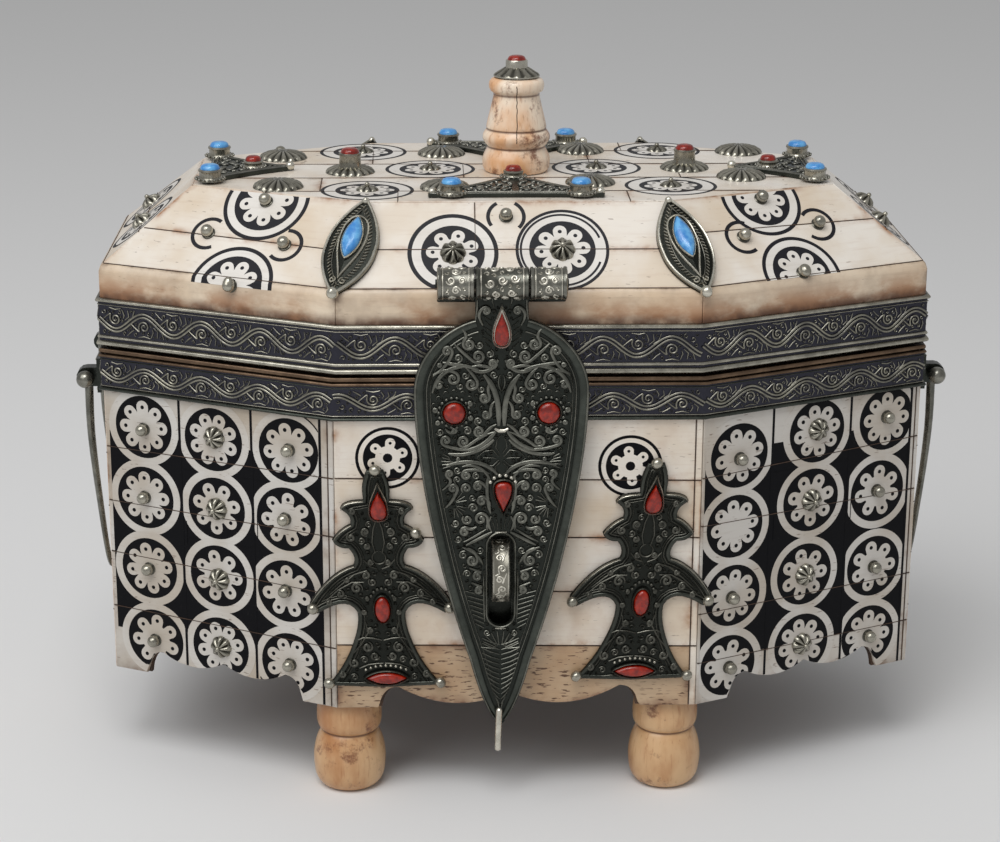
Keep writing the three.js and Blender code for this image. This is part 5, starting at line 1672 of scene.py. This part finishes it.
def tree(side):
    lean = TREE_LEAN[side]
    origin = (TREE_MIDDLE[side], -half_depth - FIT - TREE_THICKNESS, leg_bottom + TREE_RISE[side])
    face = Face(origin, (1, 0, 0), (-lean, 0, 1))
    pile = Pile(side + "_tree_relief", "base", "silvered_metal", TREE_METAL, STUD_METAL, TREE_EDGE)
    edge, point, pieces = [], TREE_START, []
    for cx, cy, x, y in TREE_CURVES:
        pieces.append(quadratic(point, (cx, cy), (x, y), 7))
        edge += pieces[-1]
        pieces[-1] = pieces[-1] + [(x, y)]
        point = (x, y)
    right = [*edge, point]
    outline = [(0, 0.4), *right, *mirrored(right[::-1])]
    plate(pile, face, inward(outline, 0.35), -TREE_THICKNESS, GROUND, 2, 0.0)
    ridge(pile, face, inward(outline, 1.0), 1.9, 1.15, 2, True, base=GROUND - 0.4)
    for distance, width in ((2.5, 0.6), (3.4, 0.45)):
        ridge(pile, face, inward(outline, distance), width, 0.6, 0, True, base=GROUND)
    for sign in (1, -1):
        for index in (4, 7, 9):
            path = sided(offset(pieces[index], 0.6, False), sign)
            ridge(pile, face, path, 0.9, 1.2, 1, base=-0.3, taper=(0.3, 0.6))
        for x, y, radius, start, turns in TREE_CURLS:
            curl(pile, face, x, y, radius, start, turns, None, 1.35, 0.95, sign, GROUND)
        lines = [
            [(1.2, 52), (2.2, 56), (1.6, 61), (0.6, 64)], [(9.7, 18.6), (7, 19.8), (3.5, 19.6), (0.3, 18.8)],
            [(6, 26), (5, 22), (8, 17), (12, 12.5)], [(4.5, 45.5), (9, 44), (14, 40), (18, 36.5)],
            [(5.8, 41), (10, 41), (15, 38.2), (20, 33.6)], [(0.8, 46), (3.4, 47), (5.6, 49.6)],
            [(8.8, 8), (5.6, 9.4), (2.4, 9.8), (0.3, 9.9)],
        ]
        for points in lines:
            stroke(pile, face, *points, width=1.2, height=0.9, sign=sign, base=GROUND)
    ridge(pile, face, arc(0, 50.3, 2.4, 100, 440, 20), 0.8, 0.8, 0, base=GROUND)
    for s in (-1, 1):
        ridge(pile, face, [(0, 44.5), (s * 1.6, 47.2), (s * 2.9, 50.4)], 0.7, 0.7, 0, base=GROUND)
    gems = Pile(side + "_tree_corals", "base", "coral", CORAL)
    dome(gems, face, drop(0.6, 64.6, 67.6, 75.2, 2.9), 0.3, 2.0)
    ridge(pile, face, drop(0.6, 64.2, 67.6, 78.6, 3.4), 0.8, 1.6, 1, True, base=-0.2)
    dome(gems, face, circle(0.4, 30.8, 2.7, 26, 1.8), 0.3, 2.0)
    bezel(pile, face, circle(0.4, 30.8, 2.8, 26, 1.8), 0.9, 1.6, 0, -0.3)
    beads(pile, face, 0.4, 33.0, (4.4, 5.6), range(30, 151, 20), 0.7, 0, -0.4)
    across = [(y - 4.4, x + 0.75) for x, y in leaf(0, 0, 2.1, 7.2)]
    across = [(dx + 0.75 + 4.4, 4.4 + dy - 0.75) for dx, dy in across][::-1]
    dome(gems, face, across, 0.3, 1.8)
    wider = [(0.75 + (x - 0.75) * 1.06, 4.4 + (y - 4.4) * 1.15) for x, y in across]
    bezel(pile, face, wider, 0.9, 1.6, 0, -0.3)
    for i in range(9):
        x = -6.6 + 14.4 * i / 8
        ball(pile, face, x, 7.5 + 1.6 * (1 - ((x - 0.6) / 7.2) ** 2), 0.6, 1, -0.4, 8)
    mark(face, [(0, 0), (0, 83)])
    field = clipped(inward(outline, 3.7), 0, 0.3, 1)
    fill(pile, face, field, (0.6, 2.2), 1.3, 0.95, signs=(1, -1), base=GROUND, gap=0.45)
    tips = [(0, 83), (24.4, 31.2), (-24.4, 31.2), (20, 2.4), (-20, 2.4)]
    for x, y in tips + [(13.4, 59.6)] * (side == "left"):
        ball(pile, face, x, y, 2.05, 1, -1.2)
    pile.piece(side + "_tree_ornament", sharp=50)
    gems.piece(sharp=60)


# Studs on the walls and the lid

LEFT_STUDS = [
    [(29.3, 131.3), (27.2, 105.2), (26.9, 77.8), (28, 49.3)],
    [(-30.3, 131.3), (-30.9, 105.2), (-30.3, 77.4), (-28.9, 49.3)],
    [(-1, 131.9), (-0.9, 104.9), (-0.7, 77.8), (-0.7, 51.3)],
]
RIGHT_STUDS = [
    [(31.9, 134.3), (29.1, 106.3), (29.4, 76.3), (28.6, 48.8)],
    [(-31.4, 127.4), (-32.9, 74.9), (-33.1, 47.7)],
    [(1.9, 133.6), (0.2, 106.9), (-1.2, 78.3), (-1.4, 51)],
]


def ball_stud(pile, surface, x, y):
    turned(pile, surface, x, y, [(2.3, -0.3), (2.5, 0.25), (2.2, 0.5)], 18, tone=0.3)
    ball(pile, surface, x, y, 2.25, 0, 0.2)


def ribbed_stud(pile, surface, x, y, radius=4.3, rise=2.9):
    ribbed(pile, surface, x, y, radius, rise, 8, radius * 0.22)


def studs():
    pile = Pile("wall_studs", "base", "silvered_metal", STUD_METAL)
    for k, columns in ((6, LEFT_STUDS), (2, LEFT_STUDS), (0, RIGHT_STUDS), (4, RIGHT_STUDS)):
        for column in columns[:2]:
            for x, z in column:
                ball_stud(pile, walls[k], x, z)
        for x, z in columns[2]:
            ribbed_stud(pile, walls[k], x, z)
    pile.piece(sharp=50)
    pile = Pile("lid_studs", "lid", "silvered_metal", STUD_METAL)
    balls = ((6, LEFT_SLOPE), (0, RIGHT_SLOPE), (2, LEFT_SLOPE), (4, RIGHT_SLOPE))
    for k, places in (*balls, (7, FRONT_SLOPE[2:]), (3, FRONT_SLOPE[2:])):
        for place in places:
            ball_stud(pile, lid_sides[k], *place)
    large = [(k, place, 4.6, 3.2) for k in (7, 3) for place in FRONT_SLOPE[:2]]
    small = [(k, place, 4.2, 2.8) for k in (1, 5) for place in END_SLOPE]
    for k, place, radius, rise in large + small:
        ribbed_stud(pile, lid_sides[k], *place, radius, rise)
    for place in PLATEAU_RINGS:
        ribbed_stud(pile, plateau, *place, 4.1, 1.8)
    domes = [
        (-85.2, -30.2), (-86.3, 24.5), (-25.1, -32.7), (-25.9, 31.9),
        (84.3, -13.9), (89.3, 34.9), (27.8, -24.3), (28.1, 37.6),
    ]
    for x, y in domes:
        ribbed(pile, plateau, x, y, 9.2, 3.1, 17, depth=0.26)
    gems = Pile("lid_corals", "lid", "coral", CORAL)
    for x, y in ((-60, -3), (65, 3.3)):
        ribbed(pile, plateau, x, y, 9.2, 2.8, 17, depth=0.26)
        cup = [(4.6, 1.6), (4.1, 3.0), (3.9, 6.2), (4.2, 6.8), (4.0, 7.3), (3.5, 7.4), (3.3, 6.6)]
        turned(pile, plateau, x, y, cup, 24, tone=0.7)
        dome(gems, plateau, circle(x, y, 3.5, 24), 6.8, 2.4)
    pile.piece(sharp=50)
    gems.piece(sharp=60)


# Mounts on the ridges and plates on the plateau

MOUNT_LENGTH, MOUNT_HALF, MOUNT_THICKNESS = 41, 9.6, 2.2


def ridge_surface():
    inset = CREASE_INSET + SLOPE_START[0]
    low = Vector((*corner(lid_plan, 0, inset), crease_height + SLOPE_START[1]))
    high = Vector((*corner(plateau_plan, 0), plateau_height))

    def normal(k):
        a, b = corner(lid_plan, k, inset), corner(lid_plan, k + 1, inset)
        c = corner(plateau_plan, k)
        along = Vector((b[0] - a[0], b[1] - a[1], 0))
        up = Vector((c[0] - a[0], c[1] - a[1], plateau_height - crease_height - SLOPE_START[1]))
        return along.cross(up).normalized()

    start = low + (low - high).normalized() * (MOUNT_LENGTH - (low - high).length - 1)
    along = (high - low).normalized()
    across = along.cross((normal(7) + normal(0)).normalized()).normalized()
    up = across.cross(along).normalized()
    fold = math.tan(normal(7).angle(normal(0)) / 2)
    middle = start + along * (MOUNT_LENGTH / 2 - 0.5) + up * (FIT + 0.1)
    return Ridge(middle, across, along, up, fold)


ROPE_RADIUS, ROPE_PITCH = 0.62, 1.35


def twisted(pile, surface, path, base):
    """A rope of short slanted beads along a path."""
    run = 0.0
    for a, b in zip(path, path[1:]):
        step = math.dist(a, b)
        while run <= step:
            t = run / step
            x, y = a[0] + (b[0] - a[0]) * t, a[1] + (b[1] - a[1]) * t
            dx, dy = (b[0] - a[0]) / step, (b[1] - a[1]) / step
            ax, ay = dx * 0.55 - dy * 0.85, dy * 0.55 + dx * 0.85
            ends = [(x + ax * ROPE_RADIUS * s, y + ay * ROPE_RADIUS * s) for s in (-1.2, 0, 1.2)]
            width, height = ROPE_PITCH * 0.72, ROPE_RADIUS * 1.6
            ridge(pile, surface, ends, width, height, 1, base=base, taper=(0.5, 0.5), section=SHARP)
            run += ROPE_PITCH
        run -= step


def mounts():
    base_surface = ridge_surface()
    for end, sy in (("front", 1), ("back", -1)):
        for side, sx in (("right", 1), ("left", -1)):
            surface = Flipped(base_surface, sx, sy)
            name = end + "_" + side
            pile = Pile(name + "_marquise_relief", "lid", "silvered_metal", METAL, BRIGHT_METAL, TREE_EDGE)
            outline = leaf(0, 0, MOUNT_HALF - 0.2, MOUNT_LENGTH / 2, 14)
            top = 1.3
            for half in (clipped(outline, 0, 0, 1), clipped(outline, 0, 0, -1)):
                plate(pile, surface, half, 0.0, top, 2, 0.1)
            ridge(pile, surface, inward(outline, 0.55), 1.2, 1.0, 1, True, base=top - 0.1)
            rope = leaf(0, 0, MOUNT_HALF * 0.66, MOUNT_LENGTH * 0.415, 14)
            twisted(pile, surface, [*rope, rope[0]], top)
            ridge(pile, surface, offset(rope, 0.95), 0.5, 0.5, 0, True, base=top)
            ridge(pile, surface, drop(0, 12.4, 4, -13.5, 4.7), 0.95, 1.1, 1, True, base=top - 0.1)
            for s in (-1, 1):
                ridge(pile, surface, scroll(s * 1.9, -14.2, 1.5, 90, s * 1.2), 0.6, 0.9, 1, base=top)
            stone = leaf(0, 3.2, 3.1, 8.4, 12)
            bezel(pile, surface, stone, 0.7, 1.3, 1, top + 0.2)
            gem = Pile(name + "_turquoise_stone", "lid", "turquoise", BLUE)
            dome(gem, surface, stone, top + 0.7, 2.0)
            ball(pile, surface, 0, -MOUNT_LENGTH / 2 + 0.9, 2.2, 1, 0.2)
            ball(pile, surface, 0, MOUNT_LENGTH / 2 - 1.4, 1.3, 1, 0.6)
            pile.piece(name + "_marquise_mount", sharp=50)
            gem.piece(name + "_turquoise", sharp=60)


# Angle, base and apex from the middle, half width, places of the turquoises, and of the coral
PLATES = {
    "front": (0, 50.5, 14, 31, (23, 2.3), 5),
    "back": (180, 50.5, 14, 31, (23, 2.3), 5),
    "right": (90, 113, 81, 25, (22, 2.8), 15),
    "left": (-90, 113, 81, 25, (22, 2.8), 15),
}


def plateau_plates():
    corals = Pile("plate_corals", "lid", "coral", CORAL)
    blues = Pile("plate_turquoises", "lid", "turquoise", BLUE)
    for name, (angle, base, apex, half, (stone_x, stone_in), crown) in PLATES.items():
        a = math.radians(angle)
        along, upward = (math.cos(a), math.sin(a), 0), (-math.sin(a), math.cos(a), 0)
        face = Face((0, 0, plateau_height + FIT), along, upward)
        metals = (METAL, BRIGHT_METAL, DARK_METAL, STUD_METAL)
        pile = Pile(name + "_plate_relief", "lid", "silvered_metal", *metals)
        tall = base - apex
        right = quadratic((0, -base + 0.75), (half * 0.5, -base + 0.75), (half, -base), 10)
        right += quadratic((half, -base), (half + 1.5, -base + 3), (half - 3, -base + 4.4), 6)
        right += quadratic((half - 3, -base + 4.4), (half * 0.3, -base + tall * 0.55), (0, -apex), 14)
        outline = [*right, (0, -apex), *mirrored(right[:0:-1])]
        top = 1.2
        plate(pile, face, outline, 0, top, 2, 0.7)
        ridge(pile, face, inward(outline, 0.75), 1.4, 0.7, 0, True, base=top - 0.2)
        ridge(pile, face, inward(outline, 2.3), 0.5, 0.5, 0, True, base=top)
        for i in range(4):
            y = -apex - 4 - i * 1.8
            stroke(pile, face, (-1.4, y), (0, y + 1), (1.4, y), base=top)
        cups = [(x, stone_in - base, 4.5, 4.1, blues) for x in (-stone_x, stone_x)]
        cups.append((0, -apex - crown, 3.3, 3.5, corals))
        for x, y, rise, r, gems in cups:
            profile = [(r + 0.7, 0.6), (r + 0.5, top + 0.5), (r - 0.1, top + 0.9), (r - 0.1, rise - 0.7)]
            profile += [(r + 0.25, rise - 0.3), (r + 0.1, rise + 0.3), (r - 0.4, rise + 0.4), (r - 0.6, rise)]
            turned(pile, face, x, y, profile, 28, paint=3, tone=0.8)
            around = [22.5 * i for i in range(16)]
            beads(pile, face, x, y, (r + 1.1, r + 1.1), around, 0.55, 0, top - 0.2)
            dome(gems, face, circle(x, y, r - 0.5, 28), rise - 0.1, 2.3)
        for x, y in ((0, -apex - 1.4), (half - 1.2, 2.4 - base), (1.2 - half, 2.4 - base)):
            ball(pile, face, x, y, 1.7, 1, top - 0.9)
        for x, y, *_ in cups:
            mark(face, circle(x, y, 4.9, 20))
        mark(face, [(0, -base), (0, -apex)])
        field = clipped(inward(outline, 2.7), 0, 0.3, 1)
        fill(pile, face, field, (0.6, 2.0), 0.9, 0.65, signs=(1, -1), base=top)
        pile.piece(name + "_plateau_plate", sharp=50)
    corals.piece(sharp=60)
    blues.piece(sharp=60)


# Turned bone: feet and finial


def turned_solid(name, body, material, x, y, profile, node, stained, sides=56):
    """An upright solid of revolution with brown stains in its grooves."""
    pile = Pile(name, body, "turned_bone", material)
    points, stains = [], []
    for radius, z in profile:
        near = min(abs(z - groove) for groove in stained)
        for i in range(sides):
            a = 2 * math.pi * i / sides
            points.append(Vector((x + radius * math.cos(a), y + radius * math.sin(a), z)))
            stains.append(max(0.0, 1 - near / 0.9))
    pile.add(points, capped(len(profile), sides), 0, 0.5, stains)
    pile.piece(node, sharp=50)


def rounded(points, per=5):
    """A turned profile through these points, with its corners kept."""
    return [tuple(point) for point in smooth([Vector(point) for point in points], per)]


# Radius and height of the turned pieces, the finial's over the plateau
FOOT_PROFILE = [
    (8.6, 0), (10.8, 1.2), (12.6, 4.2), (13.25, 9.2), (13.1, 13.5), (12.2, 17.9), (10.9, 21.0),
    (10.2, 22.2), (11.2, 23.3), (11.85, 25.4), (11.9, 29.6), (11.2, 34.4),
]
FINIAL_PROFILE = [
    (11.6, 0.3), (12.45, 2), (12.45, 5.2), (11.3, 8), (10.7, 9.4), (11.5, 10.5), (12.45, 12.2),
    (12.4, 13.8), (11.4, 15.4), (11.0, 16), (11.1, 17.2), (9.5, 24), (8.55, 28.8), (9.8, 30.2),
    (10.25, 32), (9.8, 33.8), (8.2, 34.9),
]
CRACK_HALF, CRACK_DEPTH, CRACK_PROUD = 0.16, -0.3, 0.03


def feet_and_finial():
    for end in ("front", "back"):
        for side in ("left", "right"):
            name = f"{end}_{side}"
            low, high = span(name + "_foot")
            x, y = (low.x + high.x) / 2, (low.y + high.y) / 2
            profile = [(8.4, 0), *rounded(FOOT_PROFILE, 4), (10, 35), (10, high.z)]
            turned_solid(name + "_turned_foot", "base", SHADED_FOOT_BONE, x, y, profile, name + "_foot", (22.2,))
    low, high = span("finial")
    x, y = (low.x + high.x) / 2, (low.y + high.y) / 2
    profile = [(r, plateau_height + z) for r, z in rounded(FINIAL_PROFILE, 4)]
    grooves = [plateau_height + z for z in (9.4, 16, 28.9)]
    turned_solid("finial_turned", "lid", TURNED, x, y, profile, "finial", grooves)
    crack = Pile("finial_crack", "lid", "turned_bone", GLUE)
    way = math.radians(-91)
    face = Face((x, y, 0), (-math.sin(way), math.cos(way), 0), (0, 0, 1))
    inside = [(r, z) for r, z in profile if plateau_height + 12 < z < plateau_height + 33]
    wander = random.Random(7)
    out = Vector((math.cos(way), math.sin(way), 0))
    section = [(-CRACK_HALF, CRACK_DEPTH), (-CRACK_HALF, CRACK_PROUD)]
    section += [(-across, rise) for across, rise in section[::-1]]
    points = []
    for r, z in inside:
        drift = wander.uniform(-0.15, 0.15)
        points += [face.at(across + drift, z) + out * (r + rise) for across, rise in section]
    crack.add(points, capped(len(inside), 4))
    crack.piece()
    cap_low, cap_high = span("finial_cap")
    top = Face((x, y, cap_low.z), (1, 0, 0), (0, 1, 0))
    cap = Pile("finial_cap_ribbed", "lid", "silvered_metal", STUD_METAL, BRIGHT_METAL)
    skirt = [(8.4, 0), (8.55, 0.4), (8.1, 1.1), (6.6, 2.0), (5.2, 2.9), (4.3, 3.4), (3.95, 3.5)]
    turned(cap, top, 0, 0, skirt, 72, flutes=12, depth=0.2)
    turned(cap, top, 0, 0, [(8.5, 0), (8.6, 0.25), (8.5, 0.5)], 48, paint=1, tone=0.7)
    collar = [(3.0, 3.0), (4.1, 3.0), (4.05, 5.7), (3.8, 6.1), (3.4, 6.0), (3.2, 5.2)]
    ringed(cap, top, collar, 32, 1, 0.8)
    cap.piece("finial_cap", sharp=50)
    gem = Pile("finial_coral_stone", "lid", "coral", CORAL)
    dome(gem, top, circle(0, 0, 3.45, 28), 5.3, 2.4)
    gem.piece("finial_coral", sharp=60)


# Handles, hinges and pins


def handles():
    for side, sign in (("right", 1), ("left", -1)):
        low, high = span(side + "_handle_plate")
        pivot_z = band_bottom + 0.8
        pivot_x = half_length + 2.2 + 5.9
        pile = Pile(side + "_bail", side + "_handle", "silvered_metal", METAL)
        inside = 25 - 2.4 - 1.7 - FIT
        lean, fall = 4.6, 79
        leg = [
            (pivot_x, -28.6, 0), (pivot_x, -inside - 1.6, 0), (pivot_x, -inside, -1.6),
            (pivot_x, -inside, -fall * 0.3), (pivot_x - lean * 0.45, -inside + 0.6, -fall * 0.65),
            (pivot_x - lean * 0.9, -inside * 0.8, -fall * 0.95), (pivot_x - lean, 0, -fall),
        ]
        leg = [*leg, *[(x, -y, z) for x, y, z in leg[-2::-1]]]
        path = smooth([Vector((sign * x, y, pivot_z + z)) for x, y, z in leg], 7)
        sizes = []
        for point in path:
            depth = (pivot_z - point.z) / fall
            if depth < 0.07:
                sizes.append((1.65, 1.65))
            else:
                share = min(1, (depth - 0.07) / 0.1)
                sizes.append((1.65 + 0.9 * share - 0.5 * depth, 1.65 - 0.75 * depth))
        strap(pile, path, sizes, Vector((1, 0, 0)), 0.7)
        for end in (-1, 1):
            knob = Face((sign * pivot_x, end * 27.7, pivot_z), (1, 0, 0), (0, 0, -end))
            steps = [-1.25 + 2.7 * i / 9 for i in range(10)]
            profile = [(3.25 * math.cos(a), 3.0 + 3.25 * math.sin(a)) for a in steps]
            turned(pile, knob, 0, 0, profile, 24, tone=0.9)
        pile.piece(side + "_handle", sharp=50)
        plates = Pile(side + "_lug_relief", "base", "silvered_metal", METAL, BRIGHT_METAL)
        face_x = sign * (half_length + 2.2 + 1.5)
        face = Face((face_x, 0, 0), (0, sign, 0), (0, 0, 1))
        for y in (-13, -6.5, 0, 6.5, 13):
            curl(plates, face, y, pivot_z + 1.6, 2.6, 90, 1.4 if y > 0 else -1.4, None, 0.8, 0.6)
        for z in (low.z + 0.8, high.z - 0.8):
            ridge(plates, face, [(-29, z), (0, z), (29, z)], 0.9, 0.6, 1, taper=(1, 1))
        plates.piece(sharp=50)


def hinges():
    """Border and scrolls on the leaves of the back hinges."""
    for side, sign in (("left", -1), ("right", 1)):
        for leaf_name, body in (("base_leaf", "base"), ("lid_leaf", "lid")):
            low, high = span(f"{side}_hinge_{leaf_name}")
            y = half_depth + 0.8 + 1.1 + FIT + 1.6
            face = Face(((low.x + high.x) / 2, y, 0), (-1, 0, 0), (0, 0, 1))
            pile = Pile(f"{side}_hinge_{leaf_name}_relief", body, "silvered_metal", METAL)
            half = (high.x - low.x) / 2 - 0.9
            away = 5.6
            bottom, top = (low.z + 0.9, high.z - away) if body == "base" else (low.z + away, high.z - 0.9)
            frame_path = [(-half, bottom), (half, bottom), (half, top), (-half, top)]
            ridge(pile, face, frame_path, 0.8, 0.4, 0, True)
            for x in (-9, -3, 3, 9):
                curl(pile, face, x, (bottom + top) / 2, 2.4, 90, 1.4 if x > 0 else -1.4, None, 0.8, 0.4)
            pile.piece(sharp=50)


def finish_nodes():
    """Materials of the solids that are seen as they are."""
    wooden = ("carcass", "bottom_board", "lid_core")
    for name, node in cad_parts.items():
        node.data.materials.clear()
        node.data.materials.append(WOOD if name in wooden else METAL)


def floor_and_light():
    """A plain floor, a pale world and two soft lamps above."""
    mesh = bpy.data.meshes.new("floor")
    mesh.from_pydata([(-4, -3, 0), (4, -3, 0), (4, 5, 0), (-4, 5, 0)], [], [(0, 1, 2, 3)])
    floor = bpy.data.objects.new("floor", mesh)
    scene.collection.objects.link(floor)
    world = bpy.data.worlds.new("world")
    world.use_nodes = True
    world.node_tree.nodes["Background"].inputs["Color"].default_value = (1, 1, 1, 1)
    world.node_tree.nodes["Background"].inputs["Strength"].default_value = 0.4
    scene.world = world
    middle = Vector((0, 0, 0.15))
    lamps = (("key", (-1, -1, 1.6), 1.5, 16), ("overhead", (-0.15, -0.85, 1.6), 0.7, 8))
    for name, place, size, power in lamps:
        lamp = bpy.data.lights.new(name, "AREA")
        lamp.energy, lamp.size = power, size
        light = bpy.data.objects.new(name, lamp)
        light.location = place
        light.rotation_euler = (middle - Vector(place)).to_track_quat("-Z", "Y").to_euler()
        scene.collection.objects.link(light)


add_camera()
bone_walls()
bone_lid()
bands()
hasp()
hasp_hinge()
staple()
hasp_wire()
tree("left")
tree("right")
studs()
mounts()
plateau_plates()
feet_and_finial()
handles()
hinges()
finish_nodes()
floor_and_light()
